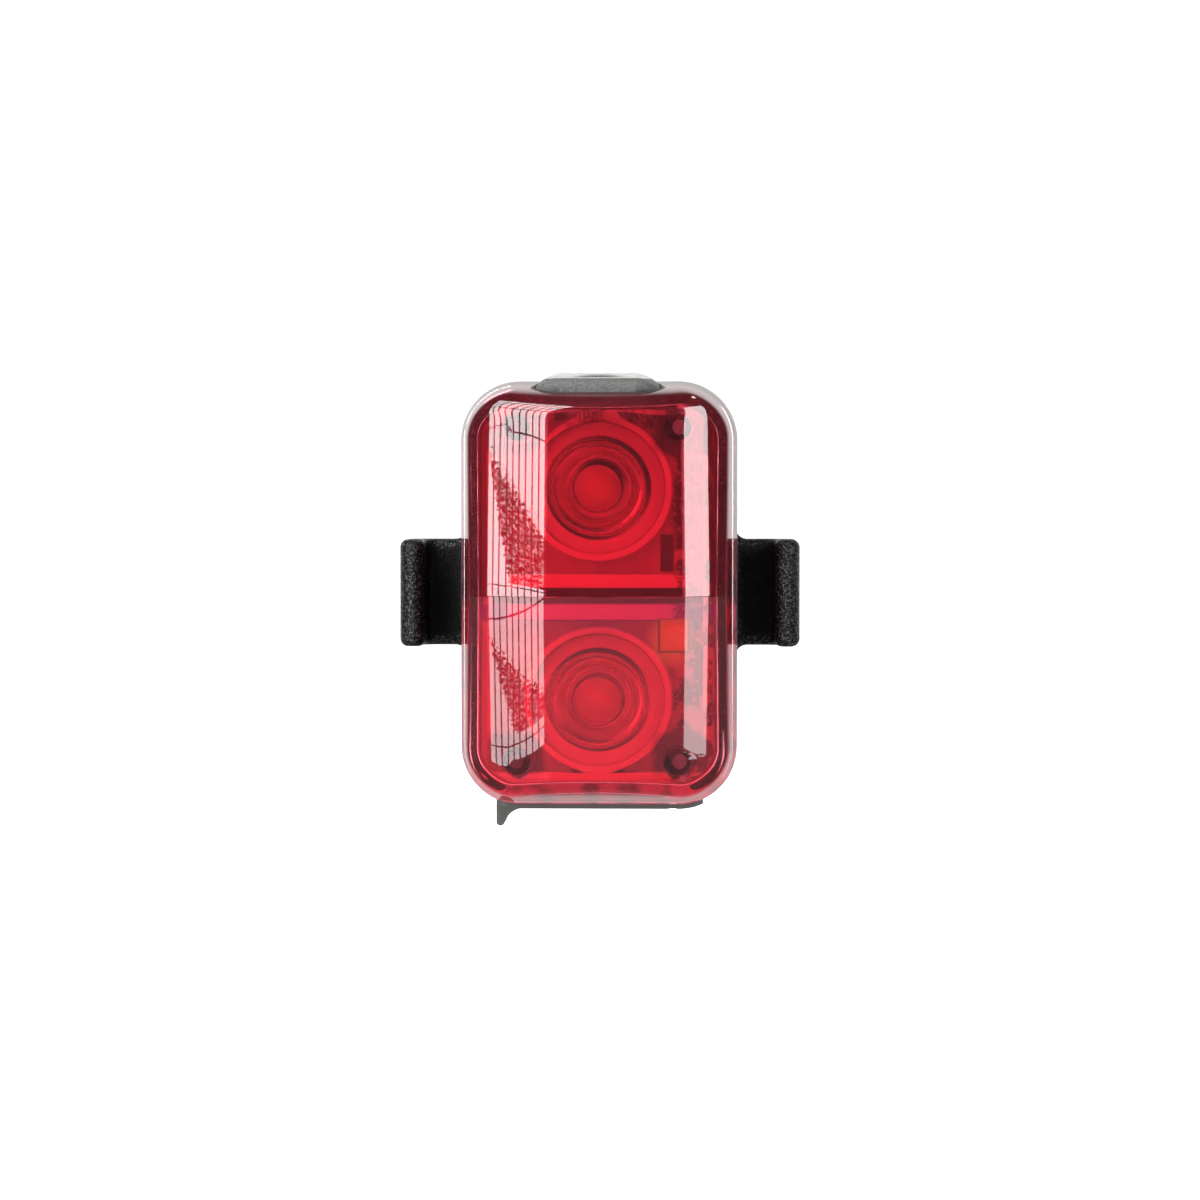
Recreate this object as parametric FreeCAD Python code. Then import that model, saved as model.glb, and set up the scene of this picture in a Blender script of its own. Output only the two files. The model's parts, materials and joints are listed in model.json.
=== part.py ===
# Compact rechargeable bicycle tail light with two emitters, for a seat post.
# Millimetres. +X is to the right as seen by a rider behind, +Y runs from the lens to the post, +Z is up.
# The origin is on the saddle line of the rubber pad, where the pad touches the post.
import FreeCAD, Part
import math
import os

Vector = FreeCAD.Vector
ALONG_X = Vector(1, 0, 0)
ALONG_Y = Vector(0, 1, 0)
ALONG_Z = Vector(0, 0, 1)
TINY = 1e-6
RIGHT_ANGLE = 90.0
SIDES = (-1, 1)

# Body shell
BODY_WIDTH = 30.0
BODY_HEIGHT = 46.0
CORNER_RADIUS = 6.4
WALL = 1.6
HOUSING_DEPTH = 11.0
HOUSING_DRAFT = 2.0
BACK_CHAMFER = 1.3

# Lens cover: two halves of a bowed front that meet in a shallow crease
LENS_DEPTH = 9.7
LENS_DRAFT = 12.0
FRONT_BOW_RADIUS = 25.0
CREASE_HEIGHT = -0.2
CREASE_STEP = 0.15
HALF_TILT = 1.6
TOP_ROLL_RADIUS = 2.6
ROLL_TAIL = 30.0

# Strap hooks on the sides of the housing
HOOK_REACH = 6.8
HOOK_HEIGHT = 11.7
HOOK_FLANGE = 2.7
HOOK_TIP_SETBACK = 0.6
HOOK_PLATE = 2.8
HOOK_BACK_SETBACK = 2.0
HOOK_CORNER_ROUND = 0.9
HOOK_CHANNEL_ROUND = 1.1
HOOK_BACK_ROUND = 2.0
HOOK_RIM_ROUND = 0.7
HOOK_ROOT_FLARE = 1.3

# Rubber pad that saddles the seat post
POST_DIAMETER = 31.6
PAD_BASE = 1.6
PAD_SIDE_INSET = 5.0
PAD_HEIGHT = 31.0
PAD_LAND = 1.3
PAD_CORNER_RADIUS = 3.5
PAD_KEY_WIDTH = 13.0
PAD_KEY_HEIGHT = 23.0
PAD_KEY_DEPTH = 0.8
PAD_KEY_CLEARANCE = 0.05
GRIP_GROOVE_PITCH = 4.4
GRIP_GROOVE_PAIRS = 3
GRIP_GROOVE_WIDTH = 1.1
GRIP_GROOVE_DEPTH = 0.4

# Case screws, driven from the back through the housing posts into the lens bosses
SCREW_SIDE_INSET = 6.6
SCREW_END_INSET = 5.1
SCREW_DIAMETER = 1.6
SCREW_BITE = 5.9
SCREW_HEAD_DIAMETER = 3.2
SCREW_HEAD_HEIGHT = 1.2
SCREW_HEAD_RECESS = 0.3
SCREW_HEAD_CLEARANCE = 0.15
SCREW_RECESS_ACROSS_FLATS = 1.3
SCREW_RECESS_DEPTH = 0.7
SHANK_CLEARANCE = 0.15
THREAD_CLEARANCE = 0.03
POST_RADIUS = 2.1
BOSS_RADIUS = 1.4

# Seal between the housing rim and the lens
SEAL_WIDTH = 0.7
SEAL_THICKNESS = 0.6
SEAL_CLEARANCE = 0.02

# Circuit board and what is soldered to it
BOARD_SINK = 1.6
BOARD_THICKNESS = 1.0
BOARD_GAP = 0.6
BOARD_CORNER_RADIUS = 4.6
EMITTER_SPACING = 22.8
EMITTER_SIZE = 2.8
EMITTER_BASE = 0.6
EMITTER_LENS_RADIUS = 1.15
EMITTER_LENS_RISE = 0.7
STATUS_SIDE_INSET = 7.0
STATUS_Z = -4.5
STATUS_WIDTH = 2.8
STATUS_HEIGHT = 3.2
STATUS_RISE = 1.9
STATUS_WINDOW_RADIUS = 1.0
STATUS_WINDOW_DEPTH = 0.5

# Optics
COLLIMATOR_REST = 0.25
COLLIMATOR_HEIGHT = 6.6
COLLIMATOR_BACK_RADIUS = 3.1
COLLIMATOR_FRONT_RADIUS = 5.4
COLLIMATOR_RIM = 0.9
COLLIMATOR_WAIST_RADIUS = 4.75
POCKET_RADIUS = 2.2
POCKET_DEPTH = 2.5
CENTRE_LENS_RADIUS = 2.5
CENTRE_LENS_SINK = 1.1
CENTRE_LENS_CROWN = 0.5
FLANGE_HEIGHT = 2.75
FLANGE_THICKNESS = 0.8
FLANGE_CLEARANCE = 0.1

# Inner bezel round the optics
BEZEL_RISE = 4.0
BEZEL_FLOOR_HEIGHT = 3.3
BEZEL_PLATE = 1.0
BEZEL_WALL = 0.9
BEZEL_CLEARANCE = 0.6
WELL_RADIUS = 7.2
WELL_WALL = 0.6
WELL_RIM = 0.8
WELL_LIP = 1.2
BAR_UPPER_Z = 1.4
BAR_UPPER_HEIGHT = 1.4
BAR_LOWER_Z = -1.9
BAR_LOWER_HEIGHT = 1.6
BAR_RISE = 2.9
BAR_SPAN = 19.0
SLOT_X = 7.3
SLOT_Z = 4.4
SLOT_WIDTH = 1.4
SLOT_HEIGHT = 4.0
BEZEL_TOP_RELIEF = 3.7
BOSS_CLEARANCE = 0.3
NOTCH_HALF_WIDTH = 2.8
NOTCH_DEPTH = 1.5

# Power button in the top wall of the lens, its seal and the switch under it
BUTTON_LENGTH = 13.5
BUTTON_WIDTH = 5.4
BUTTON_SETBACK = 3.3
BUTTON_TILT = 9.0
BUTTON_PROUD = 1.45
BUTTON_TOP_CHAMFER = 0.35
BUTTON_TRAVEL = 0.35
BUTTON_CLEARANCE = 0.1
BUTTON_SEAL_WALL = 0.4
DISH_MARGIN = 1.0
DISH_DEPTH = 0.4
DISH_SLOPE = 0.7
LIP_OVERLAP = 0.5
LIP_THICKNESS = 0.6
LIP_WIDTH = 4.4
LIP_CLEARANCE = 0.1
STEM_WIDTH = 3.4
STEM_DEPTH = 1.6
STEM_REACH = 2.6
SWITCH_WIDTH = 4.6
SWITCH_RISE = 2.7
SWITCH_HEIGHT = 2.5
SWITCH_DROP = 4.0
SWITCH_AXIS_RISE = 1.5
PLUNGER_WIDTH = 2.4
PLUNGER_DEPTH = 1.2
PLUNGER_LENGTH = 2.2
PLUNGER_PROUD = 0.9
PLUNGER_CLEARANCE = 0.06

# Charging port in the bottom wall
PORT_WIDTH = 8.94
PORT_THICKNESS = 3.26
PORT_LENGTH = 7.3
PORT_SHEET = 0.3
PORT_MOUTH_RISE = 2.0
PORT_CORNER_RADIUS = 1.5
TONGUE_WIDTH = 6.7
TONGUE_THICKNESS = 0.7
TONGUE_SETBACK = 0.6
POCKET_WIDTH = 12.4
POCKET_HEIGHT = 5.2
POCKET_BOSS_WALL = 1.2
POCKET_BOSS_RISE = 3.4

# Rubber port flap, hinged at its right end and pulled open by a fin at its left end
FLAP_DEPTH = 6.6
FLAP_PROUD = 0.55
FLAP_SINK = 0.85
FLAP_REACH = 23.0
FLAP_CLEARANCE = 0.12
FLAP_PIVOT_INSET = 1.2
FLAP_PIVOT_GAP = 0.3
FLAP_CORNER_RADIUS = 1.2
RECESS_EXTRA_REACH = 1.5
PLUG_CLEARANCE = 0.25
PLUG_RISE = 0.85
PLUG_WALL = 0.9
FIN_DEPTH = 4.6
FIN_DROP = 1.95
FIN_LENGTH = 3.2
FIN_TIP_RADIUS = 0.45
ANCHOR_STEM_RADIUS = 0.7
ANCHOR_STEM_SLACK = 0.25
ANCHOR_STEM_CLEARANCE = 0.03
ANCHOR_HEAD_RADIUS = 1.0
ANCHOR_HEAD_LENGTH = 0.6

# Battery, its foam and its two leads
CELL_WIDTH = 20.0
CELL_HEIGHT = 24.0
CELL_THICKNESS = 4.4
CELL_ROUND = 1.2
CELL_PORT_GAP = 1.3
FOAM_THICKNESS = 0.5
FOAM_MARGIN = 2.0
LEAD_DIAMETER = 0.8
LEAD_SPACING = 2.0
LEAD_SETBACK = 0.6
SOCKET_TOP_INSET = 4.2
SOCKET_WIDTH = 6.0
SOCKET_HEIGHT = 3.2
SOCKET_RISE = 2.9

# Small parts on the back of the board: width, height, rise, x and z
BOARD_PARTS = (
    (4.0, 4.0, 0.9, -6.0, -8.0),
    (5.0, 4.4, 1.1, 3.0, -6.0),
    (3.2, 2.5, 1.1, 8.6, -7.5),
    (3.0, 3.0, 1.2, -7.0, 5.0),
    (2.0, 1.25, 0.8, 2.0, 3.0),
    (2.0, 1.25, 0.8, 6.0, 3.0),
)

# Places that follow from the sizes
BACK_Y = -PAD_BASE
PARTING_Y = BACK_Y - HOUSING_DEPTH
FRONT_Y = PARTING_Y - LENS_DEPTH
INNER_BACK_Y = BACK_Y - WALL
BODY_BOTTOM_Z = -BODY_HEIGHT / 2
CORNER_X = BODY_WIDTH / 2 - CORNER_RADIUS
CORNER_Z = BODY_BOTTOM_Z + CORNER_RADIUS
PAD_WIDTH = BODY_WIDTH - 2 * PAD_SIDE_INSET
STATUS_X = BODY_WIDTH / 2 - STATUS_SIDE_INSET
FLAP_PIVOT_X = CORNER_X - FLAP_PIVOT_INSET
HOOK_SPAN = BODY_WIDTH + 2 * HOOK_REACH
HOOK_TIP_Y = PARTING_Y + HOOK_TIP_SETBACK
HOOK_BACK_Y = BACK_Y - HOOK_BACK_SETBACK
HOOK_FLOOR_Y = HOOK_BACK_Y - HOOK_PLATE
SCREW_X = BODY_WIDTH / 2 - SCREW_SIDE_INSET
SCREW_Z = BODY_HEIGHT / 2 - SCREW_END_INSET
SCREW_SEAT_Y = BACK_Y - SCREW_HEAD_RECESS - SCREW_HEAD_HEIGHT
BOARD_FRONT_Y = PARTING_Y + BOARD_SINK
BOARD_BACK_Y = BOARD_FRONT_Y + BOARD_THICKNESS
SCREW_END_Y = BOARD_FRONT_Y - SCREW_BITE
EMITTER_Z = EMITTER_SPACING / 2
FLANGE_SEAT_Y = BOARD_FRONT_Y - COLLIMATOR_REST - FLANGE_HEIGHT
WELL_FRONT_Y = FLANGE_SEAT_Y - FLANGE_THICKNESS - WELL_RIM
BEZEL_FRONT_Y = PARTING_Y - BEZEL_RISE
BEZEL_FLOOR_Y = BOARD_FRONT_Y - BEZEL_FLOOR_HEIGHT
BEZEL_TOP_RELIEF_Z = BODY_HEIGHT / 2 - BEZEL_TOP_RELIEF
BAR_FRONT_Y = BEZEL_FLOOR_Y - BAR_RISE
BUTTON_Y = PARTING_Y - BUTTON_SETBACK
SWITCH_TOP_Z = BODY_HEIGHT / 2 - SWITCH_DROP
SWITCH_AXIS_Y = BOARD_FRONT_Y - SWITCH_AXIS_RISE
PORT_Y = BOARD_BACK_Y + PORT_THICKNESS / 2
PORT_MOUTH_Z = BODY_BOTTOM_Z + PORT_MOUTH_RISE
POCKET_BOSS_TOP_Z = BODY_BOTTOM_Z + POCKET_BOSS_RISE
FLAP_THICKNESS = FLAP_PROUD + FLAP_SINK
KNUCKLE_RADIUS = FLAP_THICKNESS / 2
PIVOT_Z = BODY_BOTTOM_Z - FLAP_PROUD + KNUCKLE_RADIUS
ANCHOR_X = FLAP_PIVOT_X + KNUCKLE_RADIUS + FLAP_PIVOT_GAP
CELL_BACK_Y = INNER_BACK_Y - FOAM_THICKNESS
CELL_FRONT_Y = CELL_BACK_Y - CELL_THICKNESS
CELL_BOTTOM_Z = PORT_MOUTH_Z + PORT_LENGTH + CELL_PORT_GAP
CELL_TOP_Z = CELL_BOTTOM_Z + CELL_HEIGHT
SOCKET_BOTTOM_Z = BODY_HEIGHT / 2 - SOCKET_TOP_INSET - SOCKET_HEIGHT
LEAD_LENGTH = SOCKET_BOTTOM_Z - CELL_TOP_Z


def slope(angle):
    """Sideways run of a draft for each millimetre of depth."""
    return math.tan(math.radians(angle))


def at_y(y):
    """Places flat (x, z) sizes in the plane Y = y."""
    return lambda u, v: Vector(u, y, v)


def at_z(z, y_centre):
    """Places flat (x, y) sizes in the level plane Z = z, round a centre in Y."""
    return lambda u, v: Vector(u, y_centre + v, z)


def joined(points):
    """Straight edges through points that aren't repeated."""
    pairs = zip(points, points[1:])
    return [Part.makeLine(a, b) for a, b in pairs if a.distanceToPoint(b) > TINY]


def rounded_wire(width, height, radius, place):
    """Closed rounded rectangle centred on the place function's origin; a pill where radius is half the height."""
    arcs = []
    for u_side, v_side, start in ((1, 1, 0), (-1, 1, 90), (-1, -1, 180), (1, -1, 270)):
        u = u_side * (width / 2 - radius)
        v = v_side * (height / 2 - radius)
        turns = [math.radians(start + step) for step in (0, 45, 90)]
        arcs.append([place(u + radius * math.cos(t), v + radius * math.sin(t)) for t in turns])
    edges = []
    for index, arc in enumerate(arcs):
        edges.append(Part.Arc(*arc).toShape())
        edges += joined([arc[-1], arcs[(index + 1) % 4][0]])
    return Part.Wire(edges)


def loft(*wires):
    """Ruled solid through closed wires."""
    return Part.makeLoft(list(wires), True, True)


def prism(wire, direction):
    """Solid swept straight from a closed flat wire."""
    return Part.Face(wire).extrude(direction)


def box(x_range, y_range, z_range):
    """Plain block between named limits."""
    spans = [high - low for low, high in (x_range, y_range, z_range)]
    return Part.makeBox(*spans, Vector(x_range[0], y_range[0], z_range[0]))


def rod(radius, y_from, y_to, x, z):
    """Round bar along Y."""
    low = min(y_from, y_to)
    return Part.makeCylinder(radius, abs(y_to - y_from), Vector(x, low, z), ALONG_Y)


def turned(edges, z, angle=360):
    """Solid of revolution about an axis along Y at height z, from edges in the plane Z = 0 on the +X side."""
    solid = Part.Face(Part.Wire(edges)).revolve(Vector(0, 0, 0), ALONG_Y, angle)
    solid.translate(Vector(0, 0, z))
    return solid


def rounded_edges(solid, radius, chosen):
    """Fillets the edges for which chosen is true."""
    return solid.makeFillet(radius, [edge for edge in solid.Edges if chosen(edge)])


def flat_in(edge, axis, value):
    """True if an edge lies in the plane where the named coordinate has one value."""
    return all(abs(getattr(v.Point, axis) - value) < 1e-4 for v in edge.Vertexes) and \
        abs(getattr(edge.CenterOfMass, axis) - value) < 1e-3


def screw_places():
    """The four corners that hold case screws."""
    return [(x_side * SCREW_X, z_side * SCREW_Z) for x_side in SIDES for z_side in SIDES]


def compound(solids):
    """Separate solids of one node."""
    return Part.makeCompound(solids)


def outline(y, inset):
    """Body outline in the plane Y = y, moved inwards."""
    return rounded_wire(BODY_WIDTH - 2 * inset, BODY_HEIGHT - 2 * inset, CORNER_RADIUS - inset, at_y(y))


def drafted_block(y_from, y_to, inset, draft):
    """Solid of the body outline, moved inwards and drawn in further by the draft on its way to y_to."""
    run = y_to - y_from
    drawn = inset + abs(run) * slope(draft)
    upright = [(CORNER_X, BODY_HEIGHT / 2 - inset, y_from), (CORNER_X, BODY_HEIGHT / 2 - drawn, y_to)]
    level = [(BODY_WIDTH / 2 - inset, -CORNER_Z, y_from), (BODY_WIDTH / 2 - drawn, -CORNER_Z, y_to)]
    block = loft(*[rectangle(*section) for section in upright]).fuse(loft(*[rectangle(*section) for section in level]))
    for x_side in SIDES:
        for z_side in SIDES:
            foot = Vector(x_side * CORNER_X, y_from, z_side * CORNER_Z)
            direction = ALONG_Y * math.copysign(1, run)
            block = block.fuse(corner_cone(CORNER_RADIUS - inset, CORNER_RADIUS - drawn, abs(run), foot, direction))
    return block.removeSplitter()


def corner_cone(foot_radius, far_radius, length, foot, direction):
    """Cone, or a cylinder where nothing is drafted."""
    if abs(foot_radius - far_radius) < TINY:
        return Part.makeCylinder(foot_radius, length, foot, direction)
    return Part.makeCone(foot_radius, far_radius, length, foot, direction)


def rectangle(half_width, half_height, y):
    """Closed rectangle round the Y axis."""
    corners = [(1, 1), (-1, 1), (-1, -1), (1, -1), (1, 1)]
    return Part.makePolygon([Vector(u * half_width, y, v * half_height) for u, v in corners])


def top_wall_z(y, inset):
    """Height of the lens's drafted top wall at depth y."""
    return BODY_HEIGHT / 2 - inset - (PARTING_Y - y) * slope(LENS_DRAFT)


def half_front(side, inset):
    """One half of the bowed front, turned about an upright axis: its end rolls over outside and is plain inside."""
    step = CREASE_STEP if side < 0 else 0.0
    crest = FRONT_BOW_RADIUS - inset - step
    roll = TOP_ROLL_RADIUS
    end = BODY_HEIGHT / 2 - inset - LENS_DEPTH * slope(LENS_DRAFT)
    lean = slope(HALF_TILT)
    start_z = CREASE_HEIGHT
    bend_z = side * (end - roll)
    bend_r = crest - abs(bend_z - start_z) * lean
    middle, over = [Vector(bend_r - roll + roll * math.cos(t), 0, bend_z + side * roll * math.sin(t))
                    for t in (math.radians((RIGHT_ANGLE - ROLL_TAIL) * share) for share in (0.5, 1.0))]
    past = Vector(over.x - LENS_DEPTH, 0, over.z + side * LENS_DEPTH * slope(ROLL_TAIL))
    crown = side * BODY_HEIGHT
    if inset > 0:
        edges = joined([Vector(0, 0, start_z), Vector(crest, 0, start_z), Vector(bend_r, 0, crown),
                        Vector(0, 0, crown), Vector(0, 0, start_z)])
    else:
        edges = joined([Vector(0, 0, start_z), Vector(crest, 0, start_z), Vector(bend_r, 0, bend_z)])
        edges.append(Part.Arc(Vector(bend_r, 0, bend_z), middle, over).toShape())
        edges += joined([over, past, Vector(past.x, 0, crown), Vector(0, 0, crown), Vector(0, 0, start_z)])
    half = Part.Face(Part.Wire(edges)).revolve(Vector(0, 0, 0), ALONG_Z, 360)
    half.translate(Vector(0, FRONT_Y + FRONT_BOW_RADIUS, 0))
    return half


def lens_half(side, inset):
    """One half of the lens as a solid, or of its hollow when inset by the wall."""
    return drafted_block(PARTING_Y, FRONT_Y - WALL, inset, LENS_DRAFT).common(half_front(side, inset))


def button_hole_wire(z, grow):
    """Pill outline of the button, grown all round, at height z."""
    return rounded_wire(BUTTON_LENGTH + 2 * grow, BUTTON_WIDTH + 2 * grow, BUTTON_WIDTH / 2 + grow,
                        at_z(z, BUTTON_Y))


def button_prism(z_low, z_high, grow):
    """Upright pill-shaped bar of the button's section."""
    return prism(button_hole_wire(z_low, grow), ALONG_Z * (z_high - z_low))


def tilted_slab(z_low, z_high, angle):
    """Wide slab between two parallel planes that fall towards the front, with its heights taken at the button."""
    reach = BODY_HEIGHT
    middle = (z_low + z_high) / 2
    half = (z_high - z_low) / 2 * math.cos(math.radians(angle))
    slab = box((-reach, reach), (BUTTON_Y - reach, BUTTON_Y + reach), (middle - half, middle + half))
    slab.rotate(Vector(0, BUTTON_Y, middle), ALONG_X, angle)
    return slab


def lens_bosses():
    """Round bosses that drop from the bowed wall to the board, two from each half."""
    bosses = []
    for side in SIDES:
        root = lens_half(side, WALL / 2)
        for x in (-SCREW_X, SCREW_X):
            z = side * SCREW_Z
            bosses.append(rod(BOSS_RADIUS, FRONT_Y, PARTING_Y, x, z).common(root))
            bosses.append(rod(BOSS_RADIUS, PARTING_Y, BOARD_FRONT_Y, x, z))
    return bosses


def lens_cover():
    """Clear red cover: two bowed halves as one hollow shell, with bosses, pilot holes and the button opening."""
    shell = lens_half(1, 0.0).fuse(lens_half(-1, 0.0))
    shell = shell.cut(lens_half(1, WALL).fuse(lens_half(-1, WALL)))
    shell = shell.fuse(lens_bosses())
    hole_grow = BUTTON_CLEARANCE + BUTTON_SEAL_WALL
    shell = shell.cut(button_prism(BODY_HEIGHT / 2 - 3 * WALL, BODY_HEIGHT, hole_grow))
    pilot_radius = SCREW_DIAMETER / 2 + THREAD_CLEARANCE
    pilot_end = SCREW_END_Y - THREAD_CLEARANCE
    return shell.cut([rod(pilot_radius, pilot_end, BOARD_FRONT_Y, x, z) for x, z in screw_places()])


def lens_seal():
    """Rubber ring in the housing rim."""
    middle = (WALL - SEAL_WIDTH) / 2
    back = PARTING_Y + SEAL_THICKNESS
    outer = prism(outline(PARTING_Y, middle), ALONG_Y * (back - PARTING_Y))
    inner = prism(outline(PARTING_Y, middle + SEAL_WIDTH), ALONG_Y * (back - PARTING_Y))
    return outer.cut(inner)


def seal_groove():
    """Groove for the lens seal, with its clearance."""
    middle = (WALL - SEAL_WIDTH) / 2 - SEAL_CLEARANCE
    outer = prism(outline(PARTING_Y, middle), ALONG_Y * SEAL_THICKNESS)
    inner = prism(outline(PARTING_Y, middle + SEAL_WIDTH + 2 * SEAL_CLEARANCE), ALONG_Y * SEAL_THICKNESS)
    return outer.cut(inner)


def hook_section():
    """Hook drawn across: a plate with an upturned flange that has a full-round tip."""
    outer = HOOK_SPAN / 2
    inner = outer - HOOK_FLANGE
    root = BODY_WIDTH / 2 - WALL
    nose_y = HOOK_TIP_Y + HOOK_FLANGE / 2
    edges = joined([Vector(root, HOOK_BACK_Y, 0), Vector(outer, HOOK_BACK_Y, 0), Vector(outer, nose_y, 0)])
    tip = Vector(outer - HOOK_FLANGE / 2, HOOK_TIP_Y, 0)
    edges.append(Part.Arc(Vector(outer, nose_y, 0), tip, Vector(inner, nose_y, 0)).toShape())
    edges += joined([Vector(inner, nose_y, 0), Vector(inner, HOOK_FLOOR_Y, 0), Vector(root, HOOK_FLOOR_Y, 0),
                     Vector(root, HOOK_BACK_Y, 0)])
    solid = prism(Part.Wire(edges), ALONG_Z * 2 * HOOK_HEIGHT)
    solid.translate(ALONG_Z * -HOOK_HEIGHT)
    solid = rounded_edges(solid, HOOK_BACK_ROUND, lambda e: is_upright_at(e, outer, HOOK_BACK_Y))
    return rounded_edges(solid, HOOK_CHANNEL_ROUND, lambda e: is_upright_at(e, inner, HOOK_FLOOR_Y))


def hook_front():
    """Hook drawn from the front: rounded outer corners, and a flare where it leaves the housing."""
    outer = HOOK_SPAN / 2
    root = BODY_WIDTH / 2 - WALL
    flare = HOOK_ROOT_FLARE
    flare_x = BODY_WIDTH / 2 - (HOOK_FLOOR_Y - PARTING_Y) * slope(HOUSING_DRAFT)
    top = HOOK_HEIGHT / 2
    bow = math.sqrt(0.5)
    round_ = HOOK_CORNER_ROUND
    edges = []
    for side in (1, -1):
        start = Vector(root, 0, side * (top + flare))
        wide = Vector(flare_x, 0, side * (top + flare))
        level = Vector(flare_x + flare, 0, side * top)
        dip = Vector(flare_x + flare * (1 - bow), 0, side * (top + flare * (1 - bow)))
        corner = Vector(outer - round_, 0, side * top)
        bulge = Vector(outer - round_ * (1 - bow), 0, side * (top - round_ * (1 - bow)))
        edge = Vector(outer, 0, side * (top - round_))
        edges += joined([start, wide]) + [Part.Arc(wide, dip, level).toShape()]
        edges += joined([level, corner]) + [Part.Arc(corner, bulge, edge).toShape()]
    edges += joined([Vector(outer, 0, top - round_), Vector(outer, 0, round_ - top)])
    edges += joined([Vector(root, 0, -top - flare), Vector(root, 0, top + flare)])
    solid = prism(Part.Wire(Part.__sortEdges__(edges)), ALONG_Y * BODY_WIDTH)
    solid.translate(ALONG_Y * -BODY_WIDTH)
    return solid


def hook(side):
    """Strap hook: the part that both drawings share, with softened rims."""
    solid = hook_section().common(hook_front())
    solid = rounded_edges(solid, HOOK_RIM_ROUND, lambda e: abs(abs(e.CenterOfMass.z) - HOOK_HEIGHT / 2) < 1e-4)
    if side < 0:
        solid = solid.mirror(Vector(0, 0, 0), ALONG_X)
    return solid


def is_upright_at(edge, x, y):
    """True if an edge runs along Z through (x, y)."""
    return flat_in(edge, "x", x) and flat_in(edge, "y", y)


def port_pocket_boss():
    """Thickening of the bottom wall round the charging port, behind the board."""
    half_width = POCKET_WIDTH / 2 + POCKET_BOSS_WALL
    back = PORT_Y + POCKET_HEIGHT / 2 + POCKET_BOSS_WALL
    return box((-half_width, half_width), (BOARD_BACK_Y, back),
               (BODY_BOTTOM_Z + WALL / 2, POCKET_BOSS_TOP_Z))


def port_pocket():
    """Pill-shaped pocket that the receptacle looks out of."""
    wire = rounded_wire(POCKET_WIDTH, POCKET_HEIGHT, POCKET_HEIGHT / 2, at_z(2 * BODY_BOTTOM_Z, PORT_Y))
    return prism(wire, ALONG_Z * (POCKET_BOSS_TOP_Z - 2 * BODY_BOTTOM_Z + WALL))


def around_bottom(radius_change, reach_left, reach_right):
    """Edges of the bottom outline, offset by radius_change, between two reaches in degrees round its corners."""
    radius = CORNER_RADIUS + radius_change
    z = CORNER_Z - radius
    edges = []
    for side, reach in ((-1, reach_left), (1, reach_right)):
        turns = [math.radians(reach * share) for share in (1.0, 0.5, 0.0)]
        spots = [Vector(side * (CORNER_X + radius * math.sin(t)), 0, CORNER_Z - radius * math.cos(t)) for t in turns]
        arc = Part.Arc(*spots) if side < 0 else Part.Arc(*reversed(spots))
        edges.append(arc.toShape())
    edges.insert(1, Part.makeLine(Vector(-CORNER_X, 0, z), Vector(CORNER_X, 0, z)))
    return edges


def wrapped_strip(proud, sink, reach, grow):
    """Strip with rounded corners that follows the bottom outline, as deep as the flap and grown by a clearance."""
    outer = around_bottom(proud, reach, reach)
    inner = around_bottom(-sink, reach, reach)
    ends = [Part.makeLine(outer[-1].Vertexes[-1].Point, inner[-1].Vertexes[-1].Point),
            Part.makeLine(inner[0].Vertexes[0].Point, outer[0].Vertexes[0].Point)]
    wire = Part.Wire(Part.__sortEdges__(outer + inner + ends))
    depth = FLAP_DEPTH + 2 * grow
    strip = prism(wire, ALONG_Y * depth)
    strip.translate(Vector(0, PORT_Y - depth / 2, 0))
    width = 2 * corner_spot(proud, reach).x
    plan = rounded_wire(width, depth, FLAP_CORNER_RADIUS + grow, at_z(-BODY_HEIGHT, PORT_Y))
    return strip.common(prism(plan, ALONG_Z * BODY_HEIGHT))


def corner_spot(radius_change, reach):
    """Point round the lower right corner, at a radius offset from the outline and a reach in degrees."""
    radius = CORNER_RADIUS + radius_change
    turn = math.radians(reach)
    return Vector(CORNER_X + radius * math.sin(turn), 0, CORNER_Z - radius * math.cos(turn))


def fin():
    """Curved pull tab under the flap's free end, drawn in the front view."""
    start = corner_spot(FLAP_PROUD, FLAP_REACH)
    left = -start.x
    top = start.z + FLAP_THICKNESS / 2
    tip_z = BODY_BOTTOM_Z - FLAP_PROUD - FIN_DROP
    root_z = BODY_BOTTOM_Z - FLAP_PROUD
    tip_centre = Vector(left + FIN_TIP_RADIUS, 0, tip_z + FIN_TIP_RADIUS)
    top_left = Vector(left, 0, top)
    tip_left = Vector(left, 0, tip_centre.z)
    tip_right = Vector(left + 2 * FIN_TIP_RADIUS, 0, tip_centre.z)
    root = Vector(left + FIN_LENGTH, 0, root_z)
    hollow = Vector((2 * tip_right.x + root.x) / 3, 0, (tip_right.z + 2 * root.z) / 3)
    sunk_root = Vector(root.x, 0, root_z + FLAP_THICKNESS / 2)
    edges = joined([top_left, tip_left])
    edges.append(Part.Arc(tip_left, Vector(tip_centre.x, 0, tip_z), tip_right).toShape())
    edges.append(Part.Arc(tip_right, hollow, root).toShape())
    edges += joined([root, sunk_root, top_left])
    solid = prism(Part.Wire(edges), ALONG_Y * FIN_DEPTH)
    solid.translate(Vector(0, PORT_Y - FIN_DEPTH / 2, 0))
    return solid


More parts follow.
